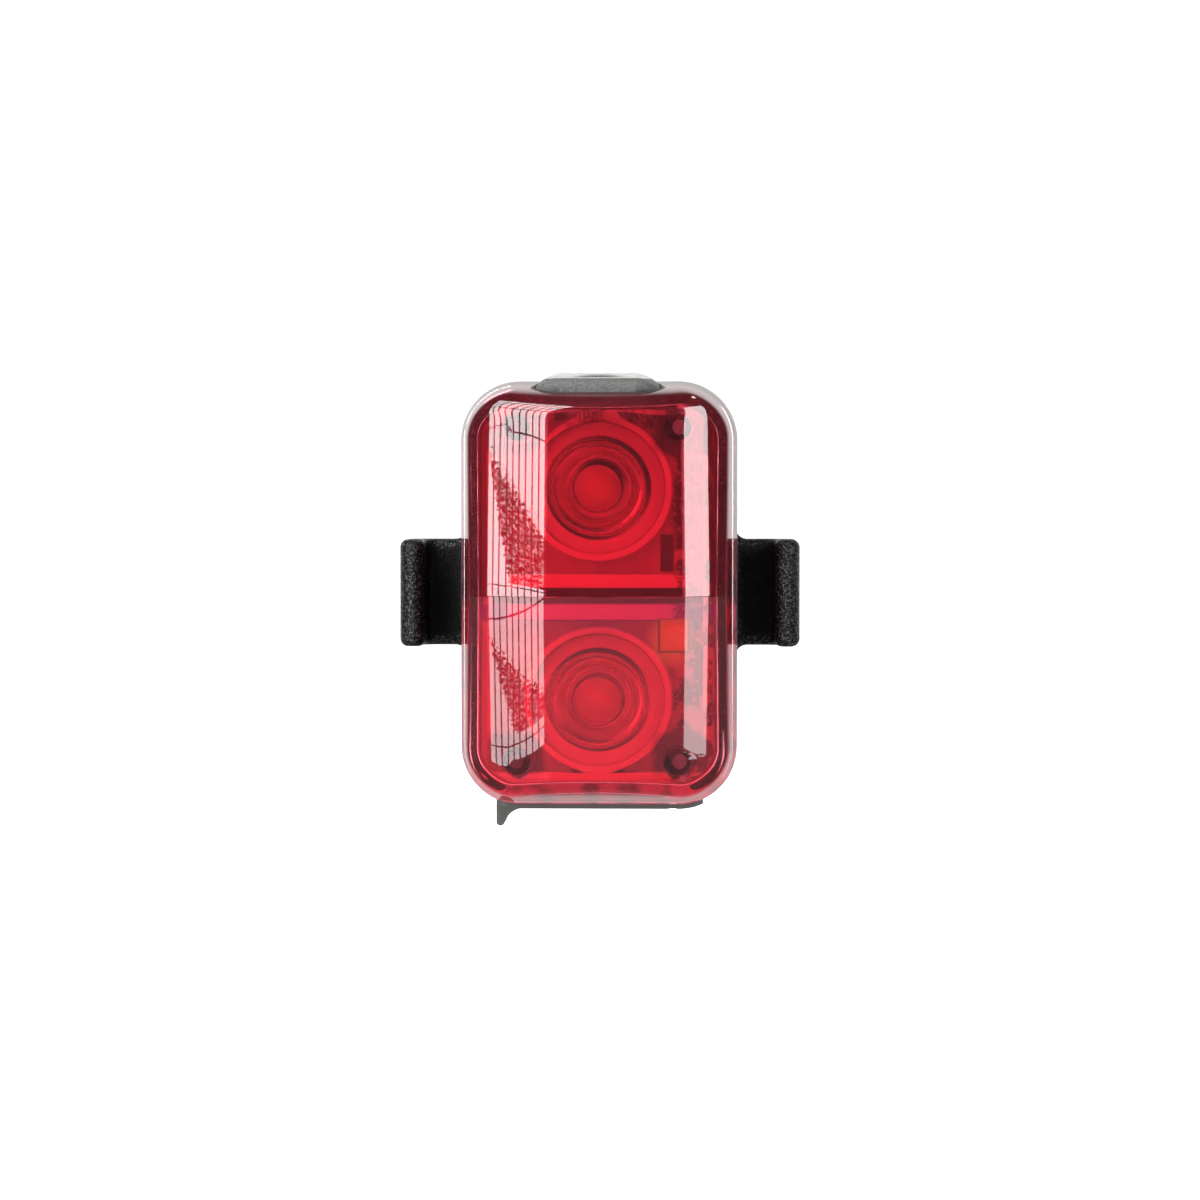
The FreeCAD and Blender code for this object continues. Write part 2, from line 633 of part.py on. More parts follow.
def port_flap():
    """Moving part of the flap, with its sealing plug and pull fin."""
    far = BODY_HEIGHT
    strip = wrapped_strip(FLAP_PROUD, FLAP_SINK, FLAP_REACH, 0.0)
    strip = strip.common(box((-far, FLAP_PIVOT_X), (-far, 0), (-far, 0)))
    front = PORT_Y - FLAP_DEPTH / 2
    strip = strip.fuse(rod(KNUCKLE_RADIUS, front, front + FLAP_DEPTH, FLAP_PIVOT_X, PIVOT_Z))
    floor = BODY_BOTTOM_Z + FLAP_SINK
    width = POCKET_WIDTH - 2 * PLUG_CLEARANCE
    height = POCKET_HEIGHT - 2 * PLUG_CLEARANCE
    outer = rounded_wire(width, height, height / 2, at_z(floor - FLAP_SINK / 2, PORT_Y))
    inner = rounded_wire(width - 2 * PLUG_WALL, height - 2 * PLUG_WALL, height / 2 - PLUG_WALL,
                         at_z(floor, PORT_Y))
    plug = prism(outer, ALONG_Z * (PLUG_RISE + FLAP_SINK / 2)).cut(prism(inner, ALONG_Z * PLUG_RISE))
    return strip.fuse([plug, fin()]).removeSplitter()


def anchor_stem(radius, length):
    """Round bar from the middle of the anchor up through the housing wall."""
    x = (ANCHOR_X + corner_spot(FLAP_PROUD, FLAP_REACH).x) / 2
    return Part.makeCylinder(radius, length, Vector(x, PORT_Y, PIVOT_Z), ALONG_Z)


def flap_anchor():
    """Fixed end of the flap, with an arrow-headed stem pulled through the wall."""
    far = BODY_HEIGHT
    body = wrapped_strip(FLAP_PROUD, FLAP_SINK, FLAP_REACH, 0.0)
    body = body.common(box((ANCHOR_X, far), (-far, 0), (-far, 0)))
    length = BODY_BOTTOM_Z + WALL + ANCHOR_STEM_SLACK - PIVOT_Z
    stem = anchor_stem(ANCHOR_STEM_RADIUS, length)
    neck = stem.BoundBox.Center
    neck.z = PIVOT_Z + length
    head = Part.makeCone(ANCHOR_HEAD_RADIUS, ANCHOR_STEM_RADIUS / 2, ANCHOR_HEAD_LENGTH, neck, ALONG_Z)
    return body.fuse([stem, head]).removeSplitter()


def rear_housing():
    """Black housing: drafted tub with hooks, screw posts, the port pocket and every recess that others seat in."""
    bevel_y = BACK_Y - BACK_CHAMFER
    drawn = (bevel_y - PARTING_Y) * slope(HOUSING_DRAFT)
    outer = drafted_block(PARTING_Y, bevel_y, 0.0, HOUSING_DRAFT)
    outer = outer.fuse(drafted_block(bevel_y, BACK_Y, drawn, RIGHT_ANGLE / 2))
    hollow = drafted_block(PARTING_Y, INNER_BACK_Y, WALL, HOUSING_DRAFT)
    body = outer.fuse([hook(side) for side in SIDES])
    body = body.cut(hollow)
    body = body.fuse(port_pocket_boss())
    posts = [rod(POST_RADIUS, BACK_Y - WALL / 2, BOARD_BACK_Y, x, z) for x, z in screw_places()]
    body = body.fuse(posts)
    body = body.cut(port_pocket())
    recess_reach = FLAP_REACH + RECESS_EXTRA_REACH
    body = body.cut(wrapped_strip(WALL, FLAP_SINK + FLAP_CLEARANCE, recess_reach, FLAP_CLEARANCE))
    bore = SCREW_HEAD_DIAMETER / 2 + SCREW_HEAD_CLEARANCE
    for x, z in screw_places():
        body = body.cut(rod(SCREW_DIAMETER / 2 + SHANK_CLEARANCE, BACK_Y, BOARD_BACK_Y, x, z))
        body = body.cut(rod(bore, BACK_Y, SCREW_SEAT_Y, x, z))
    key = pad_key(PAD_KEY_CLEARANCE)
    hole = anchor_stem(ANCHOR_STEM_RADIUS + ANCHOR_STEM_CLEARANCE, 2 * WALL)
    relief = anchor_stem(ANCHOR_HEAD_RADIUS + ANCHOR_STEM_CLEARANCE, 2 * WALL)
    relief.translate(ALONG_Z * (BODY_BOTTOM_Z + WALL + ANCHOR_STEM_SLACK / 2 - PIVOT_Z))
    return body.cut([seal_groove(), key, hole, relief]).removeSplitter()


def pad_key(grow):
    """Raised key on the pad's front that locates it in the housing back."""
    wire = rounded_wire(PAD_KEY_WIDTH + 2 * grow, PAD_KEY_HEIGHT + 2 * grow, PAD_CORNER_RADIUS / 2 + grow,
                        at_y(BACK_Y))
    return prism(wire, ALONG_Y * -(PAD_KEY_DEPTH + grow))


def back_pad():
    """Rubber pad: saddle section drawn across and run up and down, with grip grooves."""
    radius = POST_DIAMETER / 2
    saddle_edge = PAD_WIDTH / 2 - PAD_LAND
    land_y = radius - math.sqrt(radius ** 2 - saddle_edge ** 2)
    half = PAD_WIDTH / 2
    edges = joined([Vector(-saddle_edge, land_y, 0), Vector(-half, land_y, 0), Vector(-half, BACK_Y, 0),
                    Vector(half, BACK_Y, 0), Vector(half, land_y, 0), Vector(saddle_edge, land_y, 0)])
    edges.append(Part.Arc(Vector(saddle_edge, land_y, 0), Vector(0, 0, 0), Vector(-saddle_edge, land_y, 0)).toShape())
    section = prism(Part.Wire(edges), ALONG_Z * PAD_HEIGHT)
    section.translate(Vector(0, 0, -PAD_HEIGHT / 2))
    plan = prism(rounded_wire(PAD_WIDTH, PAD_HEIGHT, PAD_CORNER_RADIUS, at_y(BACK_Y)), ALONG_Y * (land_y - BACK_Y))
    pad = section.common(plan)
    for side in SIDES:
        for index in range(GRIP_GROOVE_PAIRS):
            middle = side * (index + 0.5) * GRIP_GROOVE_PITCH
            groove = Part.makeCylinder(radius + GRIP_GROOVE_DEPTH, GRIP_GROOVE_WIDTH,
                                       Vector(0, radius, middle - GRIP_GROOVE_WIDTH / 2), ALONG_Z)
            pad = pad.cut(groove)
    return pad.fuse(pad_key(0.0)).removeSplitter()


def case_screws():
    """Four pan-head screws with a hexagonal recess."""
    screws = []
    top = SCREW_SEAT_Y + SCREW_HEAD_HEIGHT
    corner = SCREW_RECESS_ACROSS_FLATS / math.sqrt(3)
    turns = [math.radians(60 * step) for step in range(7)]
    for x, z in screw_places():
        shank = rod(SCREW_DIAMETER / 2, SCREW_SEAT_Y, SCREW_END_Y, x, z)
        head = rod(SCREW_HEAD_DIAMETER / 2, SCREW_SEAT_Y, top, x, z)
        head = head.makeChamfer(SCREW_HEAD_HEIGHT / 4, [edge for edge in head.Edges if flat_in(edge, "y", top)])
        rim = [Vector(x + corner * math.cos(t), top, z + corner * math.sin(t)) for t in turns]
        recess = prism(Part.makePolygon(rim), ALONG_Y * -SCREW_RECESS_DEPTH)
        screws.append(head.fuse(shank).cut(recess).removeSplitter())
    return compound(screws)


def circuit_board():
    """Board that follows the shell, drilled for the case screws."""
    inset = WALL + BOARD_GAP
    wire = rounded_wire(BODY_WIDTH - 2 * inset, BODY_HEIGHT - 2 * inset, BOARD_CORNER_RADIUS, at_y(BOARD_FRONT_Y))
    board = prism(wire, ALONG_Y * BOARD_THICKNESS)
    for x, z in screw_places():
        board = board.cut(rod(SCREW_DIAMETER / 2 + SHANK_CLEARANCE, BOARD_FRONT_Y, BOARD_BACK_Y, x, z))
    return board


def emitter(z):
    """Ceramic chip with a round clear lens on it."""
    half = EMITTER_SIZE / 2
    top = BOARD_FRONT_Y - EMITTER_BASE
    base = box((-half, half), (top, BOARD_FRONT_Y), (z - half, z + half))
    return base.fuse(rod(EMITTER_LENS_RADIUS, top - EMITTER_LENS_RISE, top, 0, z))


def status_led():
    """Amber charge light with a round window."""
    front = BOARD_FRONT_Y - STATUS_RISE
    block = box((STATUS_X - STATUS_WIDTH / 2, STATUS_X + STATUS_WIDTH / 2), (front, BOARD_FRONT_Y),
                (STATUS_Z - STATUS_HEIGHT / 2, STATUS_Z + STATUS_HEIGHT / 2))
    return block.cut(rod(STATUS_WINDOW_RADIUS, front, front + STATUS_WINDOW_DEPTH, STATUS_X, STATUS_Z))


def collimator(z):
    """Clear cup that turns the emitter's light forwards, as a turned section with a seating flange."""
    back = BOARD_FRONT_Y - COLLIMATOR_REST
    front = back - COLLIMATOR_HEIGHT
    shoulder = front + COLLIMATOR_RIM
    flange_front = FLANGE_SEAT_Y - FLANGE_THICKNESS
    flange_radius = WELL_RADIUS - FLANGE_CLEARANCE
    sunk = front + CENTRE_LENS_SINK
    dome = dome_points(CENTRE_LENS_RADIUS, sunk, sunk - CENTRE_LENS_CROWN)
    section = [(0, back - POCKET_DEPTH), (POCKET_RADIUS, back - POCKET_DEPTH), (POCKET_RADIUS, back),
               (COLLIMATOR_BACK_RADIUS, back), (COLLIMATOR_WAIST_RADIUS, FLANGE_SEAT_Y), (flange_radius, FLANGE_SEAT_Y),
               (flange_radius, flange_front), (COLLIMATOR_WAIST_RADIUS, flange_front),
               (COLLIMATOR_FRONT_RADIUS, shoulder), (COLLIMATOR_FRONT_RADIUS, front), (CENTRE_LENS_RADIUS, front),
               (CENTRE_LENS_RADIUS, sunk)]
    points = [Vector(radius, y, 0) for radius, y in section]
    return turned(joined(points) + [Part.Arc(*dome).toShape()] + joined([dome[0], points[0]]), z)


def dome_points(radius, rim_y, crown_y):
    """Crown, middle and rim of a spherical cap round the Y axis, for an arc in the plane Z = 0."""
    height = crown_y - rim_y
    ball = (radius ** 2 + height ** 2) / (2 * abs(height))
    turn = math.asin(radius / ball) / 2
    centre_y = crown_y - math.copysign(ball, height)
    middle = Vector(ball * math.sin(turn), centre_y + math.copysign(ball * math.cos(turn), height), 0)
    return [Vector(0, crown_y, 0), middle, Vector(radius, rim_y, 0)]


def bezel_skirt(inset):
    """Drafted block of the bezel's outline, from the board to its front rim."""
    edge = WALL + BEZEL_CLEARANCE + inset
    straight = drafted_block(BOARD_FRONT_Y, PARTING_Y, edge, 0.0)
    return straight.fuse(drafted_block(PARTING_Y, BEZEL_FRONT_Y, edge, LENS_DRAFT))


def inner_bezel():
    """White moulding round the optics: skirt, floor, two wells, two crossbars and its windows."""
    skirt = bezel_skirt(0.0).cut(bezel_skirt(BEZEL_WALL))
    plate_back = BEZEL_FLOOR_Y + BEZEL_PLATE
    far = BODY_HEIGHT
    layer = box((-far, far), (BEZEL_FLOOR_Y, plate_back), (-far, far))
    bezel = skirt.fuse(bezel_skirt(0.0).common(layer))
    for z, height in ((BAR_UPPER_Z, BAR_UPPER_HEIGHT), (BAR_LOWER_Z, BAR_LOWER_HEIGHT)):
        bar = box((-BAR_SPAN / 2, BAR_SPAN / 2), (BAR_FRONT_Y, BEZEL_FLOOR_Y), (z - height / 2, z + height / 2))
        bezel = bezel.fuse(bar)
    for z in (EMITTER_Z, -EMITTER_Z):
        bezel = bezel.fuse(rod(WELL_RADIUS + WELL_WALL, WELL_FRONT_Y, BOARD_FRONT_Y, 0, z))
        bezel = bezel.cut(rod(WELL_RADIUS, FLANGE_SEAT_Y, WELL_FRONT_Y, 0, z))
        bezel = bezel.cut(rod(WELL_RADIUS - WELL_LIP, BOARD_FRONT_Y, FLANGE_SEAT_Y, 0, z))
    top = box((-SCREW_X, SCREW_X), (-far, 0), (BEZEL_TOP_RELIEF_Z, far))
    switch_half = SWITCH_WIDTH / 2 + BOSS_CLEARANCE
    switch_room = box((-switch_half, switch_half), (BOARD_FRONT_Y - SWITCH_RISE - BOSS_CLEARANCE / 2, 0),
                      (SWITCH_TOP_Z - SWITCH_HEIGHT - BOSS_CLEARANCE, far))
    low_z = BODY_BOTTOM_Z + WALL + BEZEL_CLEARANCE + (PARTING_Y - BEZEL_FLOOR_Y) * slope(LENS_DRAFT)
    notch = box((-NOTCH_HALF_WIDTH, NOTCH_HALF_WIDTH), (BEZEL_FLOOR_Y, plate_back), (low_z, low_z + NOTCH_DEPTH))
    half_width = STATUS_WIDTH / 2 + BOSS_CLEARANCE
    half_height = STATUS_HEIGHT / 2 + BOSS_CLEARANCE
    window = box((STATUS_X - half_width, STATUS_X + half_width), (-far, 0),
                 (STATUS_Z - half_height, STATUS_Z + half_height))
    slot = box((SLOT_X - SLOT_WIDTH / 2, SLOT_X + SLOT_WIDTH / 2), (-far, 0),
               (SLOT_Z - SLOT_HEIGHT / 2, SLOT_Z + SLOT_HEIGHT / 2))
    around = [rod(BOSS_RADIUS + BOSS_CLEARANCE, -far, 0, x, z) for x, z in screw_places()]
    return bezel.cut([top, switch_room, notch, window, slot] + around).removeSplitter()


def power_button():
    """Rubber push button: leaning top with a dish, a retaining lip at each end and an arm to the switch."""
    wall_top = top_wall_z(BUTTON_Y, 0.0)
    wall_bottom = top_wall_z(BUTTON_Y, WALL)
    crown = wall_top + BUTTON_PROUD
    lip_top = wall_bottom - LIP_CLEARANCE
    shank = button_prism(wall_bottom - WALL - LIP_THICKNESS, BODY_HEIGHT, 0.0)
    shank = shank.common(tilted_slab(lip_top - LIP_THICKNESS, crown, BUTTON_TILT))
    shank = shank.makeChamfer(BUTTON_TOP_CHAMFER, [edge for edge in shank.Edges if is_button_rim(edge, crown)])
    lean = math.radians(BUTTON_TILT)

    def on_top(sink):
        def place(u, v):
            return Vector(u, BUTTON_Y + v * math.cos(lean) + sink * math.sin(lean),
                          crown + v * math.sin(lean) - sink * math.cos(lean))
        return place

    grow = DISH_DEPTH / 10
    wide = BUTTON_WIDTH - 2 * DISH_MARGIN + 2 * grow
    long = BUTTON_LENGTH - 2 * DISH_MARGIN + 2 * grow
    narrow = wide - 2 * DISH_SLOPE
    dish = loft(rounded_wire(long, wide, wide / 2, on_top(-grow)),
                rounded_wire(long - 2 * DISH_SLOPE, narrow, narrow / 2, on_top(DISH_DEPTH)))
    seal_grow = BUTTON_CLEARANCE + BUTTON_SEAL_WALL
    lip_length = BUTTON_LENGTH + 2 * (seal_grow + LIP_OVERLAP)
    lip_wire = rounded_wire(lip_length, LIP_WIDTH, LIP_WIDTH / 2, at_z(wall_bottom - 2 * WALL, BUTTON_Y))
    lip = prism(lip_wire, ALONG_Z * 4 * WALL)
    lip = lip.common(tilted_slab(lip_top - LIP_THICKNESS, lip_top, LENS_DRAFT))
    stem_back = SWITCH_AXIS_Y + STEM_DEPTH / 2
    stem = box((-STEM_WIDTH / 2, STEM_WIDTH / 2), (stem_back - STEM_DEPTH - STEM_REACH, stem_back),
               (SWITCH_TOP_Z + PLUNGER_PROUD, lip_top))
    return shank.cut(dish).fuse([lip, stem]).removeSplitter()


def is_button_rim(edge, crown):
    """True for the edges of the leaning top face."""
    lean = slope(BUTTON_TILT)
    return all(abs(v.Z - crown - (v.Y - BUTTON_Y) * lean) < 1e-3 for v in edge.Vertexes)


def button_seal():
    """Rubber sleeve in the lens opening that the button slides in."""
    wall_top = top_wall_z(BUTTON_Y, 0.0)
    ring = button_prism(wall_top - 2 * WALL, wall_top + WALL, BUTTON_CLEARANCE + BUTTON_SEAL_WALL)
    ring = ring.cut(button_prism(wall_top - 2 * WALL, wall_top + WALL, BUTTON_CLEARANCE))
    return ring.common(tilted_slab(top_wall_z(BUTTON_Y, WALL), wall_top, LENS_DRAFT))


def switch_body():
    """Side-push switch soldered to the board, hollow for its plunger."""
    bottom = SWITCH_TOP_Z - SWITCH_HEIGHT
    half = SWITCH_WIDTH / 2
    body = box((-half, half), (BOARD_FRONT_Y - SWITCH_RISE, BOARD_FRONT_Y), (bottom, SWITCH_TOP_Z))
    plunger_foot = SWITCH_TOP_Z + PLUNGER_PROUD - PLUNGER_LENGTH
    return body.cut(plunger_bar(plunger_foot - BUTTON_TRAVEL - PLUNGER_CLEARANCE, SWITCH_TOP_Z, PLUNGER_CLEARANCE))


def plunger_bar(z_low, z_high, grow):
    """Upright bar of the plunger's section."""
    wire = rounded_wire(PLUNGER_WIDTH + 2 * grow, PLUNGER_DEPTH + 2 * grow, PLUNGER_DEPTH / 4 + grow,
                        at_z(z_low, SWITCH_AXIS_Y))
    return prism(wire, ALONG_Z * (z_high - z_low))


def switch_plunger():
    """Plunger that the button's stem pushes."""
    top = SWITCH_TOP_Z + PLUNGER_PROUD
    return plunger_bar(top - PLUNGER_LENGTH, top, 0.0)


def usb_receptacle():
    """Folded steel shell of the charging port."""
    wire = rounded_wire(PORT_WIDTH, PORT_THICKNESS, PORT_CORNER_RADIUS, at_z(PORT_MOUTH_Z, PORT_Y))
    shell = prism(wire, ALONG_Z * PORT_LENGTH)
    hollow = rounded_wire(PORT_WIDTH - 2 * PORT_SHEET, PORT_THICKNESS - 2 * PORT_SHEET,
                          PORT_CORNER_RADIUS - PORT_SHEET, at_z(PORT_MOUTH_Z, PORT_Y))
    return shell.cut(prism(hollow, ALONG_Z * (PORT_LENGTH - PORT_SHEET)))


def usb_tongue():
    """Contact tongue inside the shell."""
    half = TONGUE_THICKNESS / 2
    return box((-TONGUE_WIDTH / 2, TONGUE_WIDTH / 2), (PORT_Y - half, PORT_Y + half),
               (PORT_MOUTH_Z + TONGUE_SETBACK, PORT_MOUTH_Z + PORT_LENGTH - PORT_SHEET))


def battery_cell():
    """Pouch cell with rounded long edges."""
    half = CELL_WIDTH / 2
    cell = box((-half, half), (CELL_FRONT_Y, CELL_BACK_Y), (CELL_BOTTOM_Z, CELL_TOP_Z))

    def runs_up(edge):
        foot = edge.Vertexes[0].Point
        return is_upright_at(edge, foot.x, foot.y)

    return rounded_edges(cell, CELL_ROUND, runs_up)


def battery_foam():
    """Adhesive foam between the cell and the housing back."""
    half = CELL_WIDTH / 2 - FOAM_MARGIN
    return box((-half, half), (CELL_BACK_Y, INNER_BACK_Y), (CELL_BOTTOM_Z + FOAM_MARGIN, CELL_TOP_Z - FOAM_MARGIN))


def battery_socket():
    """Two-way socket on the back of the board."""
    half = SOCKET_WIDTH / 2
    back = BOARD_BACK_Y + SOCKET_RISE
    block = box((-half, half), (BOARD_BACK_Y, back), (SOCKET_BOTTOM_Z, SOCKET_BOTTOM_Z + SOCKET_HEIGHT))
    return rounded_edges(block, SOCKET_RISE / 8, lambda e: flat_in(e, "y", back))


def battery_lead(side):
    """One lead, straight from the top of the cell up into the socket."""
    foot = Vector(side * LEAD_SPACING / 2, CELL_FRONT_Y + LEAD_SETBACK, CELL_TOP_Z)
    return Part.makeCylinder(LEAD_DIAMETER / 2, LEAD_LENGTH, foot, ALONG_Z)


def board_components():
    """Charger chip, controller, coil and small parts on the back of the board."""
    blocks = []
    for width, height, rise, x, z in BOARD_PARTS:
        blocks.append(box((x - width / 2, x + width / 2), (BOARD_BACK_Y, BOARD_BACK_Y + rise),
                          (z - height / 2, z + height / 2)))
    return compound(blocks)


NODES = {
    "lens_cover": lens_cover,
    "rear_housing": rear_housing,
    "lens_seal": lens_seal,
    "back_pad": back_pad,
    "case_screws": case_screws,
    "circuit_board": circuit_board,
    "emitter_upper": lambda: emitter(EMITTER_Z),
    "emitter_lower": lambda: emitter(-EMITTER_Z),
    "status_led": status_led,
    "collimator_upper": lambda: collimator(EMITTER_Z),
    "collimator_lower": lambda: collimator(-EMITTER_Z),
    "inner_bezel": inner_bezel,
    "power_button": power_button,
    "button_seal": button_seal,
    "switch_body": switch_body,
    "switch_plunger": switch_plunger,
    "usb_receptacle": usb_receptacle,
    "usb_tongue": usb_tongue,
    "port_flap": port_flap,
    "flap_anchor": flap_anchor,
    "battery_cell": battery_cell,
    "battery_foam": battery_foam,
    "battery_socket": battery_socket,
    "battery_lead_red": lambda: battery_lead(-1),
    "battery_lead_black": lambda: battery_lead(1),
    "board_components": board_components,
}

os.makedirs("parts", exist_ok=True)
for name, make in NODES.items():
    shape = make()
    shape.exportStep(f"parts/{name}.step")
    bounds = shape.BoundBox
    print(f"{name}: {len(shape.Solids)} solid(s), {shape.Volume:.2f} mm3, valid {shape.isValid()}, "
          f"X {bounds.XMin:.2f}..{bounds.XMax:.2f} Y {bounds.YMin:.2f}..{bounds.YMax:.2f} "
          f"Z {bounds.ZMin:.2f}..{bounds.ZMax:.2f}")
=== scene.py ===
"""Looks of a compact bicycle tail light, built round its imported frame."""
import json
import logging
import math
from contextlib import contextmanager
from dataclasses import dataclass, field
from enum import Enum
from typing import Callable, Iterable, Iterator, Sequence

import bmesh
import bpy
from mathutils import Matrix, Vector


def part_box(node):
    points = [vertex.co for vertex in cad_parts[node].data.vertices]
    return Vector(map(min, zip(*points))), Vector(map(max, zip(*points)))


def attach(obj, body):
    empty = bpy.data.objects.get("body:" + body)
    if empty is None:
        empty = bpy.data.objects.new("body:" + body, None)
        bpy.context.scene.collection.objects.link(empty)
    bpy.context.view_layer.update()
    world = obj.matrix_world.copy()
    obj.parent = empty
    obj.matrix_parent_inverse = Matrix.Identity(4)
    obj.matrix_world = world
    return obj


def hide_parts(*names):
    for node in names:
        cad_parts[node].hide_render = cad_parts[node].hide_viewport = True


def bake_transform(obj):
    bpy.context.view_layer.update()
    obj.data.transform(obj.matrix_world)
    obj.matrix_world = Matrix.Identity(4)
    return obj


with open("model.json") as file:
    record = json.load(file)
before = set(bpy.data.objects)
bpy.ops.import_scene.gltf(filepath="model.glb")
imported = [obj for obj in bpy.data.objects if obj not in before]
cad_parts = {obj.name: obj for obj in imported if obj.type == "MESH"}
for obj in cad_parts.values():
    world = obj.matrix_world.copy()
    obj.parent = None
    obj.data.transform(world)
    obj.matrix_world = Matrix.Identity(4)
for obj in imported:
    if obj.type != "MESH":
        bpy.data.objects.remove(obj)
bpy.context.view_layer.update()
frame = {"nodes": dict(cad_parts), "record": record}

LOG = logging.getLogger("tail_light")
MM = 0.001
SIDES = (-1, 1)
WELL_Z = 11.4  # Height of each lamp well's axis above or below the middle, in millimetres.
NEAR = 0.001  # Places closer than this are the same, in millimetres.
Colour = tuple[float, float, float]
Point = tuple[float, float, float]
Pair = tuple[float, float]
Line = list[Pair]
BLACK: Colour = (0.0, 0.0, 0.0)
WHITE: Colour = (1.0, 1.0, 1.0)
EVEN: Point = (1.0, 1.0, 1.0)


# Shader sockets and materials


class Sock:
    """An output socket that Python's operators work on."""

    def __init__(self, shade: "Shade", out: bpy.types.NodeSocket) -> None:
        """Keeps the socket and the node tree that it belongs to."""
        self.shade = shade
        self.out = out

    def maths(self, operation: str, *others: "Sock | float") -> "Sock":
        """Result of a Math node whose first input is this socket."""
        return self.shade.maths(operation, self, *others)

    def __add__(self, other: "Sock | float") -> "Sock":
        """Sum."""
        return self.maths("ADD", other)

    __radd__ = __add__

    def __sub__(self, other: "Sock | float") -> "Sock":
        """Difference."""
        return self.maths("SUBTRACT", other)

    def __rsub__(self, other: float) -> "Sock":
        """Difference from a number."""
        return self.shade.maths("SUBTRACT", other, self)

    def __mul__(self, other: "Sock | float") -> "Sock":
        """Product."""
        return self.maths("MULTIPLY", other)

    __rmul__ = __mul__

    def __truediv__(self, other: "Sock | float") -> "Sock":
        """Quotient."""
        return self.maths("DIVIDE", other)

    def __abs__(self) -> "Sock":
        """Distance from 0."""
        return self.maths("ABSOLUTE")

    def hypot(self, other: "Sock") -> "Sock":
        """Length of a line that spans this much one way and the other value across."""
        return (self * self + other * other).maths("SQRT")

    def clamped(self, low: float = 0.0, high: float = 1.0) -> "Sock":
        """The value held between two limits."""
        return self.maths("MAXIMUM", low).maths("MINIMUM", high)

    def step(self, start: float, width: float) -> "Sock":
        """0 at start and 1 a width further on, or further back where the width is negative."""
        return ((self - start) / width).clamped()

    def band(self, low: float, high: float, edge: float) -> "Sock":
        """1 between two values and 0 outside, with soft edges."""
        return self.step(low, edge) * self.step(high, -edge)


class Shade:
    """The node tree of one material or world."""

    def __init__(self, owner: bpy.types.Material | bpy.types.World) -> None:
        """Empties the owner's node tree."""
        owner.use_nodes = True
        self.tree = owner.node_tree
        self.tree.nodes.clear()

    def node(self, kind: str, settings: dict[str, object], inputs: dict[str | int, object],
             output: str = "") -> Sock | None:
        """Adds any node.

        Args:
            kind: The node's type.
            settings: Properties that are set before its sockets.
            inputs: Values or sockets by input name or number.
            output: Name of the output that is wanted, where it isn't the first in use.

        Returns:
            That output, or None where the node has none.
        """
        made = self.tree.nodes.new(kind)
        for name, value in settings.items():
            setattr(made, name, value)
        for name, value in inputs.items():
            socket = made.inputs[name]
            if isinstance(value, Sock):
                self.tree.links.new(value.out, socket)
            else:
                socket.default_value = (*value, 1.0) if socket.type == "RGBA" else value
        used = [out for out in made.outputs if (out.name == output if output else out.enabled)]
        return Sock(self, used[0]) if used else None

    def maths(self, operation: str, *values: Sock | float) -> Sock:
        """Result of a Math node."""
        return self.node("ShaderNodeMath", {"operation": operation}, dict(enumerate(values)))

    def split(self, vector: Sock, names: str) -> list[Sock]:
        """The named parts of a vector."""
        parts = self.node("ShaderNodeSeparateXYZ", {}, {"Vector": vector}).out.node.outputs
        return [Sock(self, parts[name]) for name in names]

    def place(self, scale: Point = EVEN) -> Sock:
        """Object coordinates, stretched by a scale."""
        source = self.node("ShaderNodeTexCoord", {}, {}, "Object")
        return self.node("ShaderNodeMapping", {}, {"Vector": source, "Scale": scale})

    def axes(self, names: str) -> list[Sock]:
        """Object coordinates along the named axes, in millimetres."""
        return self.split(self.place((1 / MM, 1 / MM, 1 / MM)), names)

    def noise(self, size: float, detail: float = 2.0, roughness: float = 0.5,
              scale: Point = EVEN) -> Sock:
        """Noise with cells of a size in millimetres, on stretched coordinates."""
        return self.node("ShaderNodeTexNoise", {}, {"Vector": self.place(scale), "Scale": 1 / (size * MM),
                                                    "Detail": detail, "Roughness": roughness})

    def cells(self, size: float) -> Sock:
        """Distance to the nearest of random points this far apart, as a texture of small dimples."""
        return self.node("ShaderNodeTexVoronoi", {}, {"Vector": self.place(), "Scale": 1 / (size * MM)})

    def mixed(self, share: Sock, first: Colour | Sock, second: Colour | Sock) -> Sock:
        """Colour that goes from first to second."""
        return self.node("ShaderNodeMix", {"data_type": "RGBA"}, {0: share, 6: first, 7: second})

    def bump(self, height: Sock, distance: float) -> Sock:
        """Normal of a raised pattern, with its real height in millimetres."""
        return self.node("ShaderNodeBump", {}, {"Height": height, "Distance": distance * MM})

    def principled(self, inputs: dict[str, object]) -> Sock:
        """Principled shader."""
        return self.node("ShaderNodeBsdfPrincipled", {}, inputs)

    def blended(self, share: Sock, first: Sock, second: Sock) -> Sock:
        """Shader that goes from first to second."""
        return self.node("ShaderNodeMixShader", {}, {0: share, 1: first, 2: second})

    def shadowless(self, surface: Sock, tint: Colour) -> Sock:
        """Lets shadow rays through a surface.

        Args:
            surface: The shader that all other rays meet.
            tint: Colour that it gives to the shadow rays.

        Returns:
            The joined shader.
        """
        clear = self.node("ShaderNodeBsdfTransparent", {}, {"Color": tint})
        return self.blended(self.node("ShaderNodeLightPath", {}, {}, "Is Shadow Ray"), surface, clear)

    def ranged(self, value: Sock, span: Pair, results: Pair, fade: str = "LINEAR") -> Sock:
        """The value's place in a span, carried over to a span of results."""
        return self.node("ShaderNodeMapRange", {"interpolation_type": fade}, {
            "Value": value, "From Min": span[0], "From Max": span[1],
            "To Min": results[0], "To Max": results[1]})


